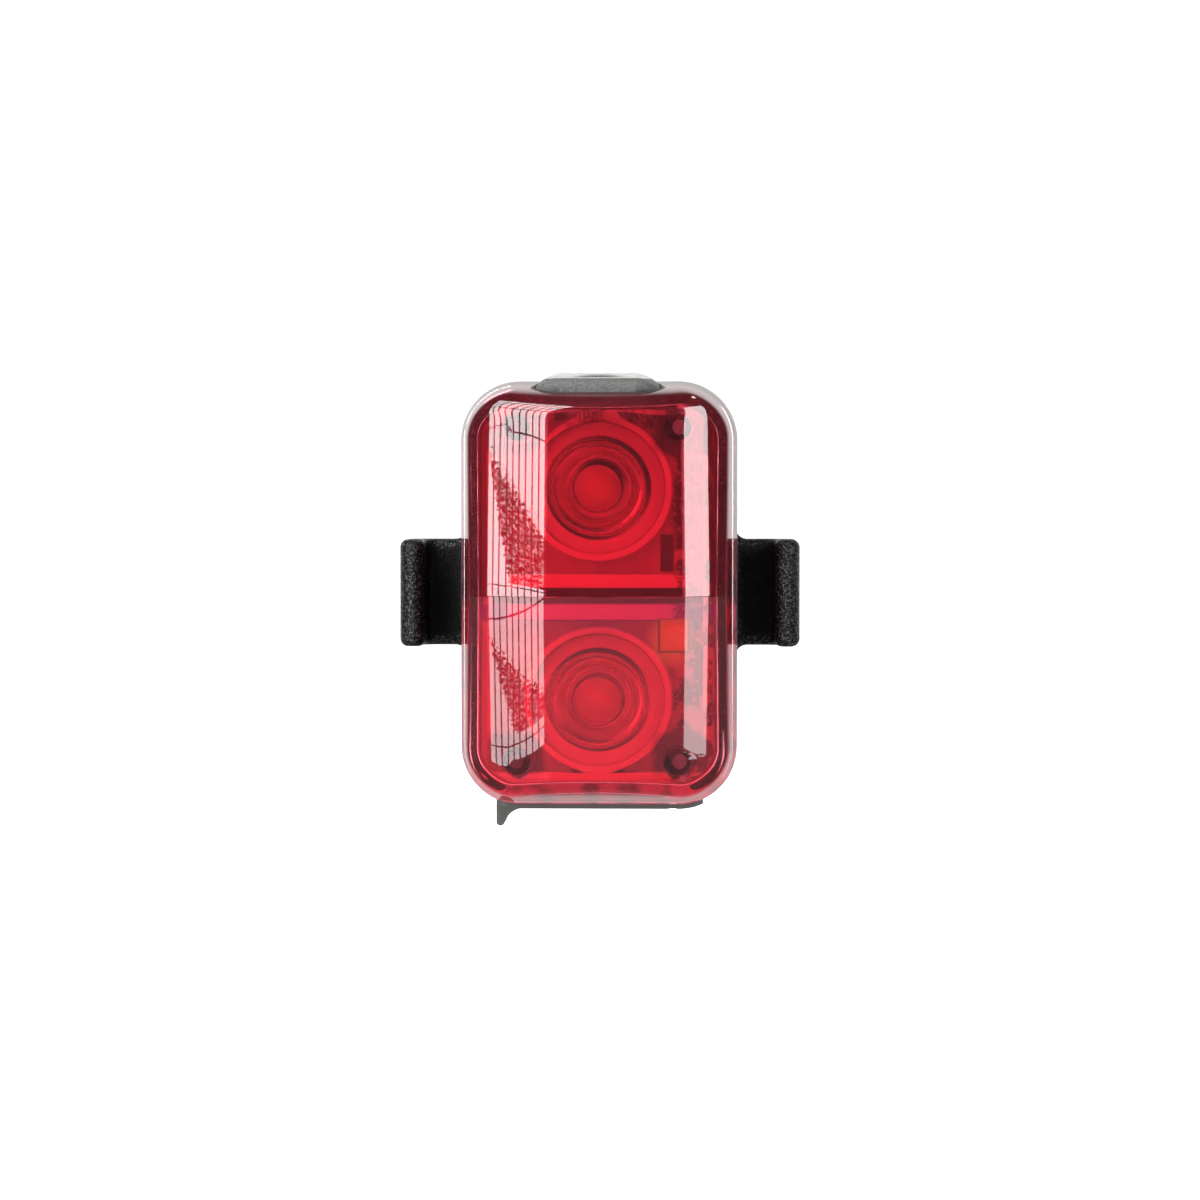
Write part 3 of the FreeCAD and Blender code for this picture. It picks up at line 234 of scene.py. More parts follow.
class Finish:
    """What a material is made from."""

    def surface(self, shade: Shade) -> Sock:
        """Builds the shader of the surface.

        Args:
            shade: The material's node tree.

        Returns:
            The shader's output.
        """
        raise NotImplementedError

    def volume(self, shade: Shade) -> Sock | None:
        """Shader of what it encloses, where it has one."""
        return None

    def make(self, name: str) -> bpy.types.Material:
        """Builds the material.

        Args:
            name: The material's name.

        Returns:
            The material, with its surface and volume joined up.
        """
        material = bpy.data.materials.new(name)
        shade = Shade(material)
        ends = {"Surface": self.surface(shade), "Volume": self.volume(shade)}
        shade.node("ShaderNodeOutputMaterial", {}, {end: sock for end, sock in ends.items() if sock})
        return material


@dataclass(frozen=True)
class Moulded(Finish):
    """Opaque moulded plastic or rubber with a fine surface grain.

    grain_size is the width of a grain and grain_depth its height, both in millimetres.
    """

    colour: Colour
    worn: Colour
    roughness: float
    grain_size: float
    grain_depth: float
    patch_size: float = 6.0
    coat: float = 0.0

    def surface(self, shade: Shade) -> Sock:
        """Slow patches of wear, and a grain with pits.

        Args:
            shade: The material's node tree.

        Returns:
            The shader's output.
        """
        patches = shade.noise(self.patch_size, 4.0)
        grain = shade.noise(self.grain_size, 3.0, 0.6)
        pits = shade.cells(self.grain_size / 0.7)
        roughness = (patches - 0.5) * 0.16 + (grain - 0.5) * 0.10 + self.roughness
        return shade.principled({
            "Base Color": shade.mixed((patches * 0.6 + grain * 0.4).clamped(), self.colour, self.worn),
            "Roughness": roughness.clamped(0.05, 1.0),
            "Coat Weight": self.coat,
            "Coat Roughness": 0.12,
            "Normal": shade.bump(grain * 0.6 + pits * 0.4, self.grain_depth),
        })


@dataclass(frozen=True)
class SparkEroded(Finish):
    """Black nylon with a coarse spark-eroded texture whose peaks catch the light.

    No peaks show in the strap channel, given by its near side, far side and half height, as painted shade in
    that recess. The peaks' lighter colour is a painted highlight on top of their gloss. The hook's flange is
    domed, given by its middle, half width and height. All are in millimetres.
    """

    colour: Colour = (0.002, 0.002, 0.002)
    peaks: Colour = (0.014, 0.014, 0.013)
    grain: float = 0.30
    depth: float = 0.26
    patch: float = 5.0
    peak_from: Pair = (0.48, 0.1)
    channel: Point = (15.2, 18.9, 5.0)
    flange: Point = (20.35, 1.45, 0.62)

    def surface(self, shade: Shade) -> Sock:
        """Matt black that turns glossy on the peaks of its grain.

        Args:
            shade: The material's node tree.

        Returns:
            The shader's output.
        """
        x, z = shade.axes("XZ")
        across = abs(x)
        coarse = shade.noise(self.grain, 2.0, 0.6)
        fine = shade.noise(self.grain / 2.3, 2.0, 0.6)
        patches = shade.noise(self.patch, 3.0)
        grain = coarse * 0.65 + fine * 0.35
        near, far, tall = self.channel
        # Painted shade: no peaks in the strap channel. Painted highlight: the peaks' lighter colour.
        inside = across.band(near, far, 0.5) * abs(z).step(tall, -0.5)
        peak = grain.step(*self.peak_from) * (1.0 - inside)
        middle, half, crown = self.flange
        off = ((across - middle) / half).clamped(-1.0, 1.0)
        normal = shade.bump((1.0 - off * off) * (crown / self.depth) + grain, self.depth)
        matt = shade.principled({
            "Base Color": self.colour,
            "Roughness": (patches - 0.5) * 0.12 + (fine - 0.5) * 0.2 + 0.42,
            "Specular IOR Level": 0.20,
            "Normal": normal,
        })
        glossy = shade.principled({"Base Color": self.peaks, "Roughness": 0.15, "IOR": 1.7, "Normal": normal})
        return shade.blended(peak, matt, glossy)


@dataclass(frozen=True)
class RimFinish(Finish):
    """Satin ring that closes the slit round the bezel, with a painted glow: dark at the top, brighter at the
    sides and below.
    """

    glow_steps: tuple[float, ...] = (0.02, 0.07, 0.22, 0.20)
    heights: tuple[float, ...] = (17.5, 0.0, -18.5)
    patch: float = 3.0
    colour: Colour = (1.0, 0.10, 0.22)

    def surface(self, shade: Shade) -> Sock:
        """Painted glow levels that add up from the top down, broken by patches.

        Args:
            shade: The material's node tree.

        Returns:
            The shader's output.
        """
        z, = shade.axes("Z")
        patches = shade.noise(self.patch)
        level: Sock | float = self.glow_steps[0]
        for glow_tone, height in zip(self.glow_steps[1:], self.heights):
            level = z.step(height, -1.0) * glow_tone + level
        level = level * ((patches - 0.36) * 6.0).clamped(0.35, 1.0)
        # Painted glow: the same colour is the base colour and the emission, darkest at the top.
        glow_tone = shade.mixed(level.clamped(), BLACK, self.colour)
        return shade.principled({
            "Base Color": glow_tone,
            "Roughness": patches * 0.2 + 0.4,
            "Emission Color": glow_tone,
            "Emission Strength": 0.85,
        })


@dataclass(frozen=True)
class BezelFinish(Finish):
    """Satin white moulding with the painted shade and painted glows that the photograph shows through the
    lens.

    Sizes are in millimetres. slot, bar and arc give where each begins and ends, and lamp where the painted
    amber glow has its middle. Every other pair gives where something starts and over which width it comes in.
    """

    colour: Colour = (0.80, 0.80, 0.78)
    dark: Colour = (0.05, 0.05, 0.05)
    amber: Colour = (0.6, 1.0, 0.03)
    magenta: Colour = (0.15, 0.0, 0.40)
    grain: float = 0.30
    patch: float = 2.4
    glow: Pair = (2.89, -1.7)
    slot: Pair = (-1.05, 0.62)
    slot_shade_depth: Pair = (-16.4, 0.5)
    bar: Pair = (-2.95, -1.0)
    arc: Pair = (5.2, 5.75)
    lamp: Pair = (7.9, -4.8)
    well: Pair = (7.85, 0.1)
    floor_shade_depth: Pair = (-15.3, 0.6)
    side: Pair = (7.4, 1.2)
    top: Pair = (17.2, 1.0)
    corner_x: Pair = (5.4, 1.2)
    corner_z: Pair = (14.6, 1.4)
    corner_end: Pair = (19.4, -0.4)
    edge: Pair = (11.3, 0.4)
    foot: Pair = (-19.3, -0.3)

    def surface(self, shade: Shade) -> Sock:
        """White, darkened by the sum of all painted shade, with a painted amber glow and a painted magenta
        glow on the bar.

        Args:
            shade: The material's node tree.

        Returns:
            The shader's output.
        """
        x, y, z = shade.axes("XYZ")
        mottle = shade.noise(self.grain, 4.0, 0.7)
        patches = shade.noise(self.patch)
        pitted = mottle.step(0.35, 0.2)
        across, height, above = abs(x), abs(z), z.step(0.0, 0.1)
        up = height - WELL_Z
        far = x.hypot(up)
        # Painted shade, summed into dark below: the slot between the bars, the deep floor outside the wells,
        # patches at the side and top, the corners, the edges (less below), the sides of the wells, and the bar
        # under its painted magenta glow; the foot is also darker.
        bar = z.band(*self.bar, 0.1)
        slot = z.band(*self.slot, 0.12) * y.step(*self.slot_shade_depth)
        floor = y.step(*self.floor_shade_depth) * far.step(*self.well) * (patches * 0.35 + 0.30)
        mottled_shade = x.step(*self.side) * patches.step(0.42, 1 / 9)
        mottled_shade = mottled_shade + z.step(*self.top) * patches.step(0.47, 1 / 9)
        edge = across.step(*self.edge)
        corner = across.step(*self.corner_x) * height.step(*self.corner_z) * height.step(*self.corner_end)
        corner = corner * (1.0 - edge) * (pitted * 0.25 + 0.62)
        edge = edge * (1.0 - z.step(0.0, -1.0) * 0.45)
        well_shade_arcs = self.well_shade_arcs(x, up * (above * 2.0 - 1.0), far, above) * far.band(*self.arc, 0.15)
        dark = slot + floor + corner + well_shade_arcs + mottled_shade * pitted * 0.8 + edge * 0.85
        dark = (dark + z.step(*self.foot) * 0.38 + bar * 0.35).clamped()
        # Painted glow of the charge light on the bezel, round the lamp point.
        aside, below = x - self.lamp[0], z - self.lamp[1]
        away = (aside * aside + below * below * 0.7).maths("SQRT")
        glow = away.step(*self.glow) * (patches * 0.8 + 0.5).clamped()
        return shade.principled({
            "Base Color": shade.mixed(dark, self.colour, self.dark),
            "Roughness": (mottle * 0.2 + 0.3).clamped(0.1, 1.0),
            # Emission paints the amber glow and the magenta glow on the bar.
            "Emission Color": shade.mixed(bar, shade.mixed(glow, BLACK, self.amber), self.magenta),
            "Emission Strength": 0.60,
            "Normal": shade.bump(mottle, 0.012),
        })

    def well_shade_arcs(self, x: Sock, rise: Sock, far: Sock, above: Sock) -> Sock:
        """Painted shade on the sides of the wells: two slanting ones of the upper well, and top and foot of
        the lower one.

        Args:
            x: Place along X.
            rise: Height above the well's own axis.
            far: Distance from that axis.
            above: 1 in the upper well, 0 in the lower.

        Returns:
            The share of painted shade at each place, all round the axis.
        """
        first = ((x * 0.83 + rise * 0.55) / far * 1.7 - 0.6).clamped()
        second = ((x * -0.6 - rise * 0.8) / far * 1.7 - 0.6).clamped()
        poles = (abs(rise) / far * 1.7 - 0.7).clamped()
        return (first + second) * above + poles * (1.0 - above)


@dataclass(frozen=True)
class EmitterFinish(Finish):
    """Ceramic package with a round patch of phosphor in its middle."""

    radius: float = 2.3
    ceramic: Colour = (0.20, 0.20, 0.19)
    phosphor: Colour = (0.86, 0.74, 0.40)

    def surface(self, shade: Shade) -> Sock:
        """Grainy phosphor inside the radius, ceramic outside.

        Args:
            shade: The material's node tree.

        Returns:
            The shader's output.
        """
        x, z = shade.axes("XZ")
        grains = shade.noise(0.08)
        inside = x.hypot(abs(z) - WELL_Z).step(self.radius + 0.075, -0.15)
        share = inside * (grains * 0.2 + 0.85).clamped()
        return shade.principled({
            "Base Color": shade.mixed(share, self.ceramic, self.phosphor),
            "Roughness": grains * 0.2 + 0.3,
            "Normal": shade.bump(grains, 0.004),
        })


@dataclass(frozen=True)
class OpticFinish(Finish):
    """Clear acrylic whose step risers are spark-eroded and read as darker rings, some of them stronger on one
    side as painted shade.

    Each ring is (radius, half width, strength, side x, side z, even share) in millimetres round its own axis.
    """

    upper: tuple[tuple[float, ...], ...] = (
        (2.58, 0.13, 0.75, 0.25, 1.0, 1.0), (2.78, 0.32, 1.0, 0.35, 1.0, 0.0),
        (4.22, 0.10, 0.6, -0.7, -0.7, 1.0), (5.38, 0.26, 1.0, 0.9, 0.6, 0.0),
        (5.38, 0.26, 1.0, -0.6, -0.8, 0.0), (5.38, 0.08, 0.5, 0.0, 1.0, 1.0))
    lower: tuple[tuple[float, ...], ...] = (
        (1.30, 0.06, 0.5, 1.0, 0.0, 1.0), (2.68, 0.14, 0.85, 0.0, 1.0, 1.0),
        (4.20, 0.09, 0.6, -1.0, 0.0, 1.0), (5.38, 0.22, 1.0, 0.0, 1.0, 0.0),
        (5.38, 0.26, 1.0, 0.1, -1.0, 0.0), (5.38, 0.08, 0.5, 0.0, 1.0, 1.0))
    ior: float = 1.49
    tint: Colour = (0.96, 0.96, 0.96)
    riser_and_shade_tint: Colour = (0.004, 0.004, 0.004)
    frosted: float = 2.45
    flange: Colour = (0.84, 0.84, 0.82)
    milky_from: float = 5.62
    milk: float = 0.7

    def surface(self, shade: Shade) -> Sock:
        """Clear inside, frosted in the middle, milky on the flange.

        Args:
            shade: The material's node tree.

        Returns:
            The shader's output.
        """
        x, z = shade.axes("XZ")
        above = z.step(0.0, 0.1)
        up = z - above * (2.0 * WELL_Z) + WELL_Z
        far = x.hypot(up)
        upper, lower = (self.rings(x, up, far, rings) for rings in (self.upper, self.lower))
        dark = (upper * above + lower * (1.0 - above)).clamped()
        clear = shade.principled({
            "Base Color": shade.mixed(dark, self.tint, self.riser_and_shade_tint),
            "Roughness": far.step(self.frosted, -0.125) * 0.32 + dark * 0.2,
            "IOR": self.ior,
            "Transmission Weight": 1.0,
        })
        milky = shade.principled({"Base Color": self.flange, "Roughness": 0.25})
        rim = far.step(self.milky_from, 0.1) * self.milk
        return shade.shadowless(shade.blended(rim, clear, milky), self.tint)

    def rings(self, x: Sock, up: Sock, far: Sock, rings: Sequence[tuple[float, ...]]) -> Sock:
        """Sum of the dark rings, from the risers' tint and from painted shade, each fading away from its
        strong side.

        Args:
            x: Place along X.
            up: Height above the optic's own axis.
            far: Distance from that axis.
            rings: The rings of this optic.

        Returns:
            How dark each place is.
        """
        total: Sock | float = 0.0
        for radius, width, strength, side_x, side_z, even in rings:
            length = math.hypot(side_x, side_z)
            facing = (x * (side_x / length) + up * (side_z / length)) / (far + 0.01)
            # Painted shade: a ring with no even share is dark only on its strong side.
            share = (facing * 1.6 - 0.5).clamped() * (1.0 - even) + even
            total = abs(far - radius).step(width, -0.08) * share * strength + total
        return total


@dataclass(frozen=True)
class GlowingEpoxy(Finish):
    """Translucent amber block with a faint light of its own."""

    colour: Colour = (0.90, 0.60, 0.05)
    pale: Colour = (0.95, 0.75, 0.20)
    glow: float = 0.30

    def surface(self, shade: Shade) -> Sock:
        """Cloudy amber that glows in its own colour.

        Args:
            shade: The material's node tree.

        Returns:
            The shader's output.
        """
        clouds = shade.noise(1.1, 3.0)
        colour = shade.mixed(clouds, self.colour, self.pale)
        return shade.principled({
            "Base Color": colour,
            "Roughness": clouds * 0.2 + 0.2,
            "Emission Color": colour,
            "Emission Strength": self.glow,
            "Normal": shade.bump(clouds, 0.02),
        })


@dataclass(frozen=True)
class ClearRed(Finish):
    """Polished see-through plastic, tinted at each face and in its depth.

    The side wall is pale on its outside, a painted reflection, except at the low band, and deep red on its
    inside near the back, a painted shade.
    """

    colour: Colour = (0.71, 0.080, 0.13)
    wall: Colour = (1.0, 0.98, 0.985)
    deep: Colour = (0.42, 0.006, 0.016)
    depth_colour: Colour = (0.45, 0.03, 0.10)
    density: float = 95.0
    ior: float = 1.56
    haze: float = 0.025
    low_top: Pair = (-19.0, -1.5)
    low_foot: Pair = (-22.6, 0.15)
    deep_shade_from: Pair = (-17.6, 0.4)

    def tint(self, shade: Shade) -> Sock:
        """Colours each face by how far it stands from the middle of the corner's turn.

        Args:
            shade: The material's node tree.

        Returns:
            The colour's output.
        """
        body = Body()
        x, y, z = shade.axes("XYZ")
        aside = (abs(x) - (body.half_width - body.corner)).maths("MAXIMUM", 0.0)
        above = (abs(z) - (body.half_height - body.corner)).maths("MAXIMUM", 0.0)
        far = aside.hypot(above)
        # Painted reflection: the outside of the side wall is pale, except in the low band. Painted shade: the
        # inside of the wall near the back is deep red.
        low = z.step(*self.low_top) * z.step(*self.low_foot)
        outer = far.step(body.corner - 0.95, 0.5) * (1.0 - low)
        inside = body.corner - body.wall
        inner = far.band(inside - 0.75, inside + 0.25, 0.1) * y.step(*self.deep_shade_from)
        return shade.mixed(inner, shade.mixed(outer, self.colour, self.wall), self.deep)

    def surface(self, shade: Shade) -> Sock:
        """Clear, tinted plastic with a trace of haze.

        Args:
            shade: The material's node tree.

        Returns:
            The shader's output.
        """
        solid = shade.principled({
            "Base Color": self.tint(shade),
            "Roughness": 0.0,
            "IOR": self.ior,
            "Transmission Weight": 1.0 - self.haze,
        })
        return shade.shadowless(solid, tuple(math.sqrt(part) for part in self.colour))

    def volume(self, shade: Shade) -> Sock:
        """Red that deepens with the way through it."""
        return shade.node("ShaderNodeVolumeAbsorption", {}, {"Color": self.depth_colour,
                                                             "Density": self.density})


@dataclass(frozen=True)
class Metal(Finish):
    """Plated or oiled metal with drawn streaks, so many to the millimetre along each axis."""

    colour: Colour
    dull: Colour
    roughness: float
    streak: Point = (3.6, 3.6, 0.36)

    def surface(self, shade: Shade) -> Sock:
        """Streaks under a slow tarnish.

        Args:
            shade: The material's node tree.

        Returns:
            The shader's output.
        """
        streaks = shade.noise(1.0, scale=self.streak)
        tarnish = shade.noise(1.6, 4.0)
        return shade.principled({
            "Base Color": shade.mixed((streaks * 0.5 + tarnish * 0.5).clamped(), self.colour, self.dull),
            "Metallic": 1.0,
            "Roughness": ((streaks - 0.5) * 0.2 + self.roughness).clamped(0.05, 1.0),
            "Normal": shade.bump(streaks, 0.004),
        })


@dataclass(frozen=True)
class ButtonFinish(Finish):
    """Grey rubber with coarsely textured sides and a smooth crown with a painted highlight round a dish of
    painted shade.
    """

    middle: float
    side: Colour = (0.050, 0.050, 0.048)
    speck: Colour = (0.105, 0.105, 0.102)
    top: Colour = (0.34, 0.34, 0.335)
    dish: Colour = (0.070, 0.070, 0.068)
    grain: float = 0.16
    dish_size: Pair = (4.9, 1.6)
    highlight_from: Pair = (23.15, 0.12)

    def surface(self, shade: Shade) -> Sock:
        """Specks on the sides, a painted highlight above them, painted shade in the dish.

        Args:
            shade: The material's node tree.

        Returns:
            The shader's output.
        """
        x, y, z = shade.axes("XYZ")
        grains = shade.noise(self.grain, 3.0, 0.6)
        depth = y - self.middle
        long, wide = self.dish_size
        inside = x * x * (1 / long ** 2) + depth * depth * (1 / wide ** 2)
        # Painted highlight on the crown, painted shade in its dish.
        crown = shade.mixed(inside.step(1.0, -1 / 3), self.top, self.dish)
        sides = shade.mixed(grains.step(0.46, 0.125), self.side, self.speck)
        return shade.principled({
            "Base Color": shade.mixed(z.step(*self.highlight_from), sides, crown),
            "Roughness": grains * 0.3 + 0.28,
            "Normal": shade.bump(grains, 0.10),
        })


@dataclass(frozen=True)
class FloorPaper(Finish):
    """Pale paper that is lit from within, so that it stays even."""

    def surface(self, shade: Shade) -> Sock:
        """Faint fibres.

        Args:
            shade: The material's node tree.

        Returns:
            The shader's output.
        """
        fibres = shade.noise(2.5, 3.0)
        return shade.principled({
            "Base Color": shade.mixed(fibres, (0.90, 0.90, 0.90), (0.94, 0.94, 0.94)),
            "Roughness": fibres * 0.1 + 0.55,
            "Emission Color": WHITE,
            "Emission Strength": 0.92,
        })


class Slot(Enum):
    """Material slots of the record."""

    RED_LENS = "red_lens"
    BLACK_TEXTURED = "black_textured"
    BLACK_RUBBER = "black_rubber"
    GREY_RUBBER = "grey_rubber"
    SCREW_STEEL = "screw_steel"
    WHITE_BOARD = "white_board"
    EMITTER_CERAMIC = "emitter_ceramic"
    AMBER_EPOXY = "amber_epoxy"
    CLEAR_OPTIC = "clear_optic"
    SATIN_WHITE = "satin_white"
    STEEL_SHELL = "steel_shell"
    BLACK_PLASTIC = "black_plastic"
    CELL_FOIL = "cell_foil"
    BLACK_FOAM = "black_foam"
    RED_WIRE = "red_wire"
    BLACK_WIRE = "black_wire"
    CHIP_BLACK = "chip_black"


FINISHES: dict[Slot, Finish] = {
    Slot.RED_LENS: ClearRed(),
    Slot.BLACK_TEXTURED: SparkEroded(),
    Slot.BLACK_RUBBER: Moulded((0.016, 0.016, 0.016), (0.034, 0.034, 0.033), 0.62, 0.34, 0.050),
    Slot.GREY_RUBBER: Moulded((0.042, 0.042, 0.039), (0.062, 0.062, 0.058), 0.44, 0.22, 0.030),
    Slot.SCREW_STEEL: Metal((0.20, 0.20, 0.21), (0.10, 0.10, 0.11), 0.34),
    Slot.WHITE_BOARD: Moulded((0.74, 0.74, 0.72), (0.82, 0.82, 0.80), 0.30, 0.30, 0.006, coat=0.5),
    Slot.EMITTER_CERAMIC: EmitterFinish(),
    Slot.AMBER_EPOXY: GlowingEpoxy(),
    Slot.CLEAR_OPTIC: OpticFinish(),
    Slot.SATIN_WHITE: BezelFinish(),
    Slot.STEEL_SHELL: Metal((0.62, 0.61, 0.58), (0.48, 0.47, 0.45), 0.28),
    Slot.BLACK_PLASTIC: Moulded((0.015, 0.015, 0.015), (0.025, 0.025, 0.025), 0.45, 0.12, 0.006),
    Slot.CELL_FOIL: Metal((0.70, 0.70, 0.72), (0.58, 0.58, 0.60), 0.30, (0.96, 0.96, 0.96)),
    Slot.BLACK_FOAM: Moulded((0.020, 0.020, 0.020), (0.040, 0.040, 0.040), 0.95, 0.35, 0.120),
    Slot.RED_WIRE: Moulded((0.42, 0.012, 0.012), (0.52, 0.020, 0.020), 0.35, 0.30, 0.006),
    Slot.BLACK_WIRE: Moulded((0.015, 0.015, 0.015), (0.028, 0.028, 0.028), 0.35, 0.30, 0.006),
    Slot.CHIP_BLACK: Moulded((0.020, 0.020, 0.022), (0.036, 0.036, 0.038), 0.55, 0.10, 0.008),
}


class Wardrobe:
    """Makes each slot's material once and hands it out."""

    def __init__(self) -> None:
        """Starts with nothing made."""
        self.made: dict[Slot, bpy.types.Material] = {}

    def dress(self, piece: bpy.types.Object, slot: Slot, finish: Finish | None = None) -> None:
        """Gives a piece the finish of a slot.

        Args:
            piece: The mesh object.
            slot: The slot that it counts under.
            finish: The piece's own finish, where it isn't the slot's.
        """
        if slot not in self.made:
            self.made[slot] = FINISHES[slot].make(slot.value)
        piece.data.materials.clear()
        piece.data.materials.append(finish.make(piece.name) if finish else self.made[slot])


# Mesh helpers, with sizes in millimetres


def mesh_piece(name: str, vertices: Sequence[Point], faces: Iterable[Sequence[int]]) -> bpy.types.Object:
    """Links a new mesh object.

    Args:
        name: The piece's name.
        vertices: Places in metres.
        faces: Corner numbers of each face.

    Returns:
        The object, at the origin.
    """
    mesh = bpy.data.meshes.new(name)
    mesh.from_pydata(list(vertices), [], list(faces))
    piece = bpy.data.objects.new(name, mesh)
    bpy.context.scene.collection.objects.link(piece)
    return piece


def ring_faces(rings: int, count: int, closed: bool) -> list[Sequence[int]]:
    """Faces between rings of vertices that are numbered one ring after the other.

    Args:
        rings: How many rings there are.
        count: Vertices in each ring.
        closed: Whether the last ring joins the first again.

    Returns:
        Corner numbers of each face.
    """
    faces: list[Sequence[int]] = []
    for ring in range(rings if closed else rings - 1):
        here, there = ring * count, (ring + 1) % rings * count
        for at in range(count):
            beside = (at + 1) % count
            faces.append((here + at, here + beside, there + beside, there + at))
    return faces


def select_only(*pieces: bpy.types.Object) -> None:
    """Selects these pieces alone, with the first one active."""
    bpy.ops.object.select_all(action="DESELECT")
    for piece in pieces:
        piece.select_set(True)
    bpy.context.view_layer.objects.active = pieces[0]


@contextmanager
def editing(piece: bpy.types.Object) -> Iterator[None]:
    """Edit mode on one piece, with all of it selected."""
    select_only(piece)
    bpy.ops.object.mode_set(mode="EDIT")
    bpy.ops.mesh.select_all(action="SELECT")
    yield
    bpy.ops.object.mode_set(mode="OBJECT")


def pick(piece: bpy.types.Object, kind: str, wanted: Callable[[object], bool]) -> None:
    """Selects only some edges or faces of the piece in edit mode.

    Args:
        piece: The mesh object.
        kind: EDGE or FACE.
        wanted: Tells whether an edge or face is selected.
    """
    bpy.ops.mesh.select_mode(type=kind)
    bpy.ops.mesh.select_all(action="DESELECT")
    mesh = bmesh.from_edit_mesh(piece.data)
    for element in mesh.edges if kind == "EDGE" else mesh.faces:
        if wanted(element):
            element.select_set(True)
    bmesh.update_edit_mesh(piece.data)


def fixed(piece: bpy.types.Object) -> bpy.types.Object:
    """Moves a piece's place into its mesh."""
    select_only(piece)
    bpy.ops.object.transform_apply(location=True, rotation=True, scale=True)
    return piece


def modified(piece: bpy.types.Object, kind: str, **settings: object) -> bpy.types.Object:
    """Adds a modifier and applies it.

    Args:
        piece: The mesh object.
        kind: The modifier's type.
        settings: Its properties.

    Returns:
        The same object.
    """
    select_only(piece)
    modifier = piece.modifiers.new(kind.title(), kind)
    for name, value in settings.items():
        setattr(modifier, name, value)
    bpy.ops.object.modifier_apply(modifier=modifier.name)
    return piece


def combined(piece: bpy.types.Object, tool: bpy.types.Object, operation: str) -> bpy.types.Object:
    """Boolean of two closed pieces; the tool is used up."""
    modified(piece, "BOOLEAN", operation=operation, object=tool, solver="EXACT")
    bpy.data.objects.remove(tool)
    return piece


def smoothed(piece: bpy.types.Object, angle: float = 40.0) -> bpy.types.Object:
    """Shades a piece smooth except across edges sharper than an angle in degrees."""
    select_only(piece)
    bpy.ops.object.shade_smooth_by_angle(angle=math.radians(angle))
    return piece


def cleaned(piece: bpy.types.Object, distance: float = 1e-6) -> bpy.types.Object:
    """Merges doubles within a distance in metres and turns every face outwards."""
    with editing(piece):
        bpy.ops.mesh.remove_doubles(threshold=distance)
        bpy.ops.mesh.normals_make_consistent(inside=False)
    return piece


def bar(name: str, size: Pair, middle: Point, sides: int, turn: Point) -> bpy.types.Object:
    """Round bar.

    Args:
        name: The piece's name.
        size: Its radius and length.
        middle: Where its middle is.
        sides: How many sides it has.
        turn: Its turn about each axis, in degrees, from upright.

    Returns:
        The closed bar.
    """
    bpy.ops.object.select_all(action="DESELECT")
    bpy.ops.mesh.primitive_cylinder_add(vertices=sides, radius=size[0] * MM, depth=size[1] * MM,
                                        location=Vector(middle) * MM,
                                        rotation=[math.radians(angle) for angle in turn])
    piece = bpy.context.active_object
    piece.name = name
    return fixed(piece)


def pill(name: str, size: Pair, y: float, heights: Pair, sides: int = 64) -> bpy.types.Object:
    """Upright bar with round ends.

    Args:
        name: The piece's name.
        size: Its length along X and width along Y.
        y: Where its middle is.
        heights: Its lower and upper end.
        sides: Sides of both round ends together.

    Returns:
        The closed bar.
    """
    (length, width), (low, high) = size, heights
    piece = bar(name, (width / 2, high - low), (0, y, (low + high) / 2), sides, (0, 0, 180 / sides))
    spread = (length - width) / 2 * MM
    for vertex in piece.data.vertices:
        vertex.co.x += math.copysign(spread, vertex.co.x)
    return piece


def merged_copy(name: str, node: str) -> bpy.types.Object:
    """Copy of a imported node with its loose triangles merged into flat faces."""
    piece = bpy.data.objects.new(name, frame["nodes"][node].data.copy())
    bpy.context.scene.collection.objects.link(piece)
    with editing(piece):
        bpy.ops.mesh.remove_doubles(threshold=2e-6)
        bpy.ops.mesh.dissolve_limited(angle_limit=math.radians(1.0))
    return piece


def edge_softened(name: str, node: str, width: float) -> bpy.types.Object:
    """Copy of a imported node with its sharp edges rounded.

    Args:
        name: The new piece's name.
        node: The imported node.
        width: How wide the rounding is.

    Returns:
        The copy, at the origin.
    """
    piece = merged_copy(name, node)
    modified(piece, "BEVEL", width=width * MM, segments=3, limit_method="ANGLE",
             angle_limit=math.radians(35.0), use_clamp_overlap=True, harden_normals=False)
    return smoothed(piece)


def turned(name: str, profile: Line, z: float, steps: int = 128) -> bpy.types.Object:
    """Closed piece spun about an axis along Y.

    Args:
        name: The piece's name.
        profile: (radius, y) points, from the axis round to the axis.
        z: Height of the axis.
        steps: Steps in the full turn.

    Returns:
        The spun object.
    """
    piece = mesh_piece(name, [(radius * MM, y * MM, 0.0) for radius, y in profile], [])
    mesh = piece.data
    mesh.edges.add(len(profile) - 1)
    for index, edge in enumerate(mesh.edges):
        edge.vertices = (index, index + 1)
    mesh.update()
    with editing(piece):
        bpy.ops.mesh.spin(steps=steps, angle=math.radians(360), center=(0, 0, 0), axis=(0, 1, 0))
    cleaned(piece)
    mesh.transform(Matrix.Translation((0, 0, z * MM)))
    return piece


def between(start: Pair, end: Pair, share: float) -> Pair:
    """Point at a share of the way from start to end."""
    return start[0] + (end[0] - start[0]) * share, start[1] + (end[1] - start[1]) * share


def arc_points(start: Pair, end: Pair, bulge: float, steps: int) -> Line:
    """Points of a shallow curve between two profile points.

    Args:
        start: First (radius, y).
        end: Last (radius, y).
        bulge: How far its middle stands off the chord, to the left of the way.
        steps: How many pieces it has.

    Returns:
        The points after start, up to end.
    """
    length = math.dist(start, end)
    side = (-(end[1] - start[1]) / length, (end[0] - start[0]) / length)
    points = []
    for step in range(1, steps + 1):
        share = step / steps
        off = 4 * bulge * share * (1 - share)
        radius, y = between(start, end, share)
        points.append((radius + side[0] * off, y + side[1] * off))
    return points


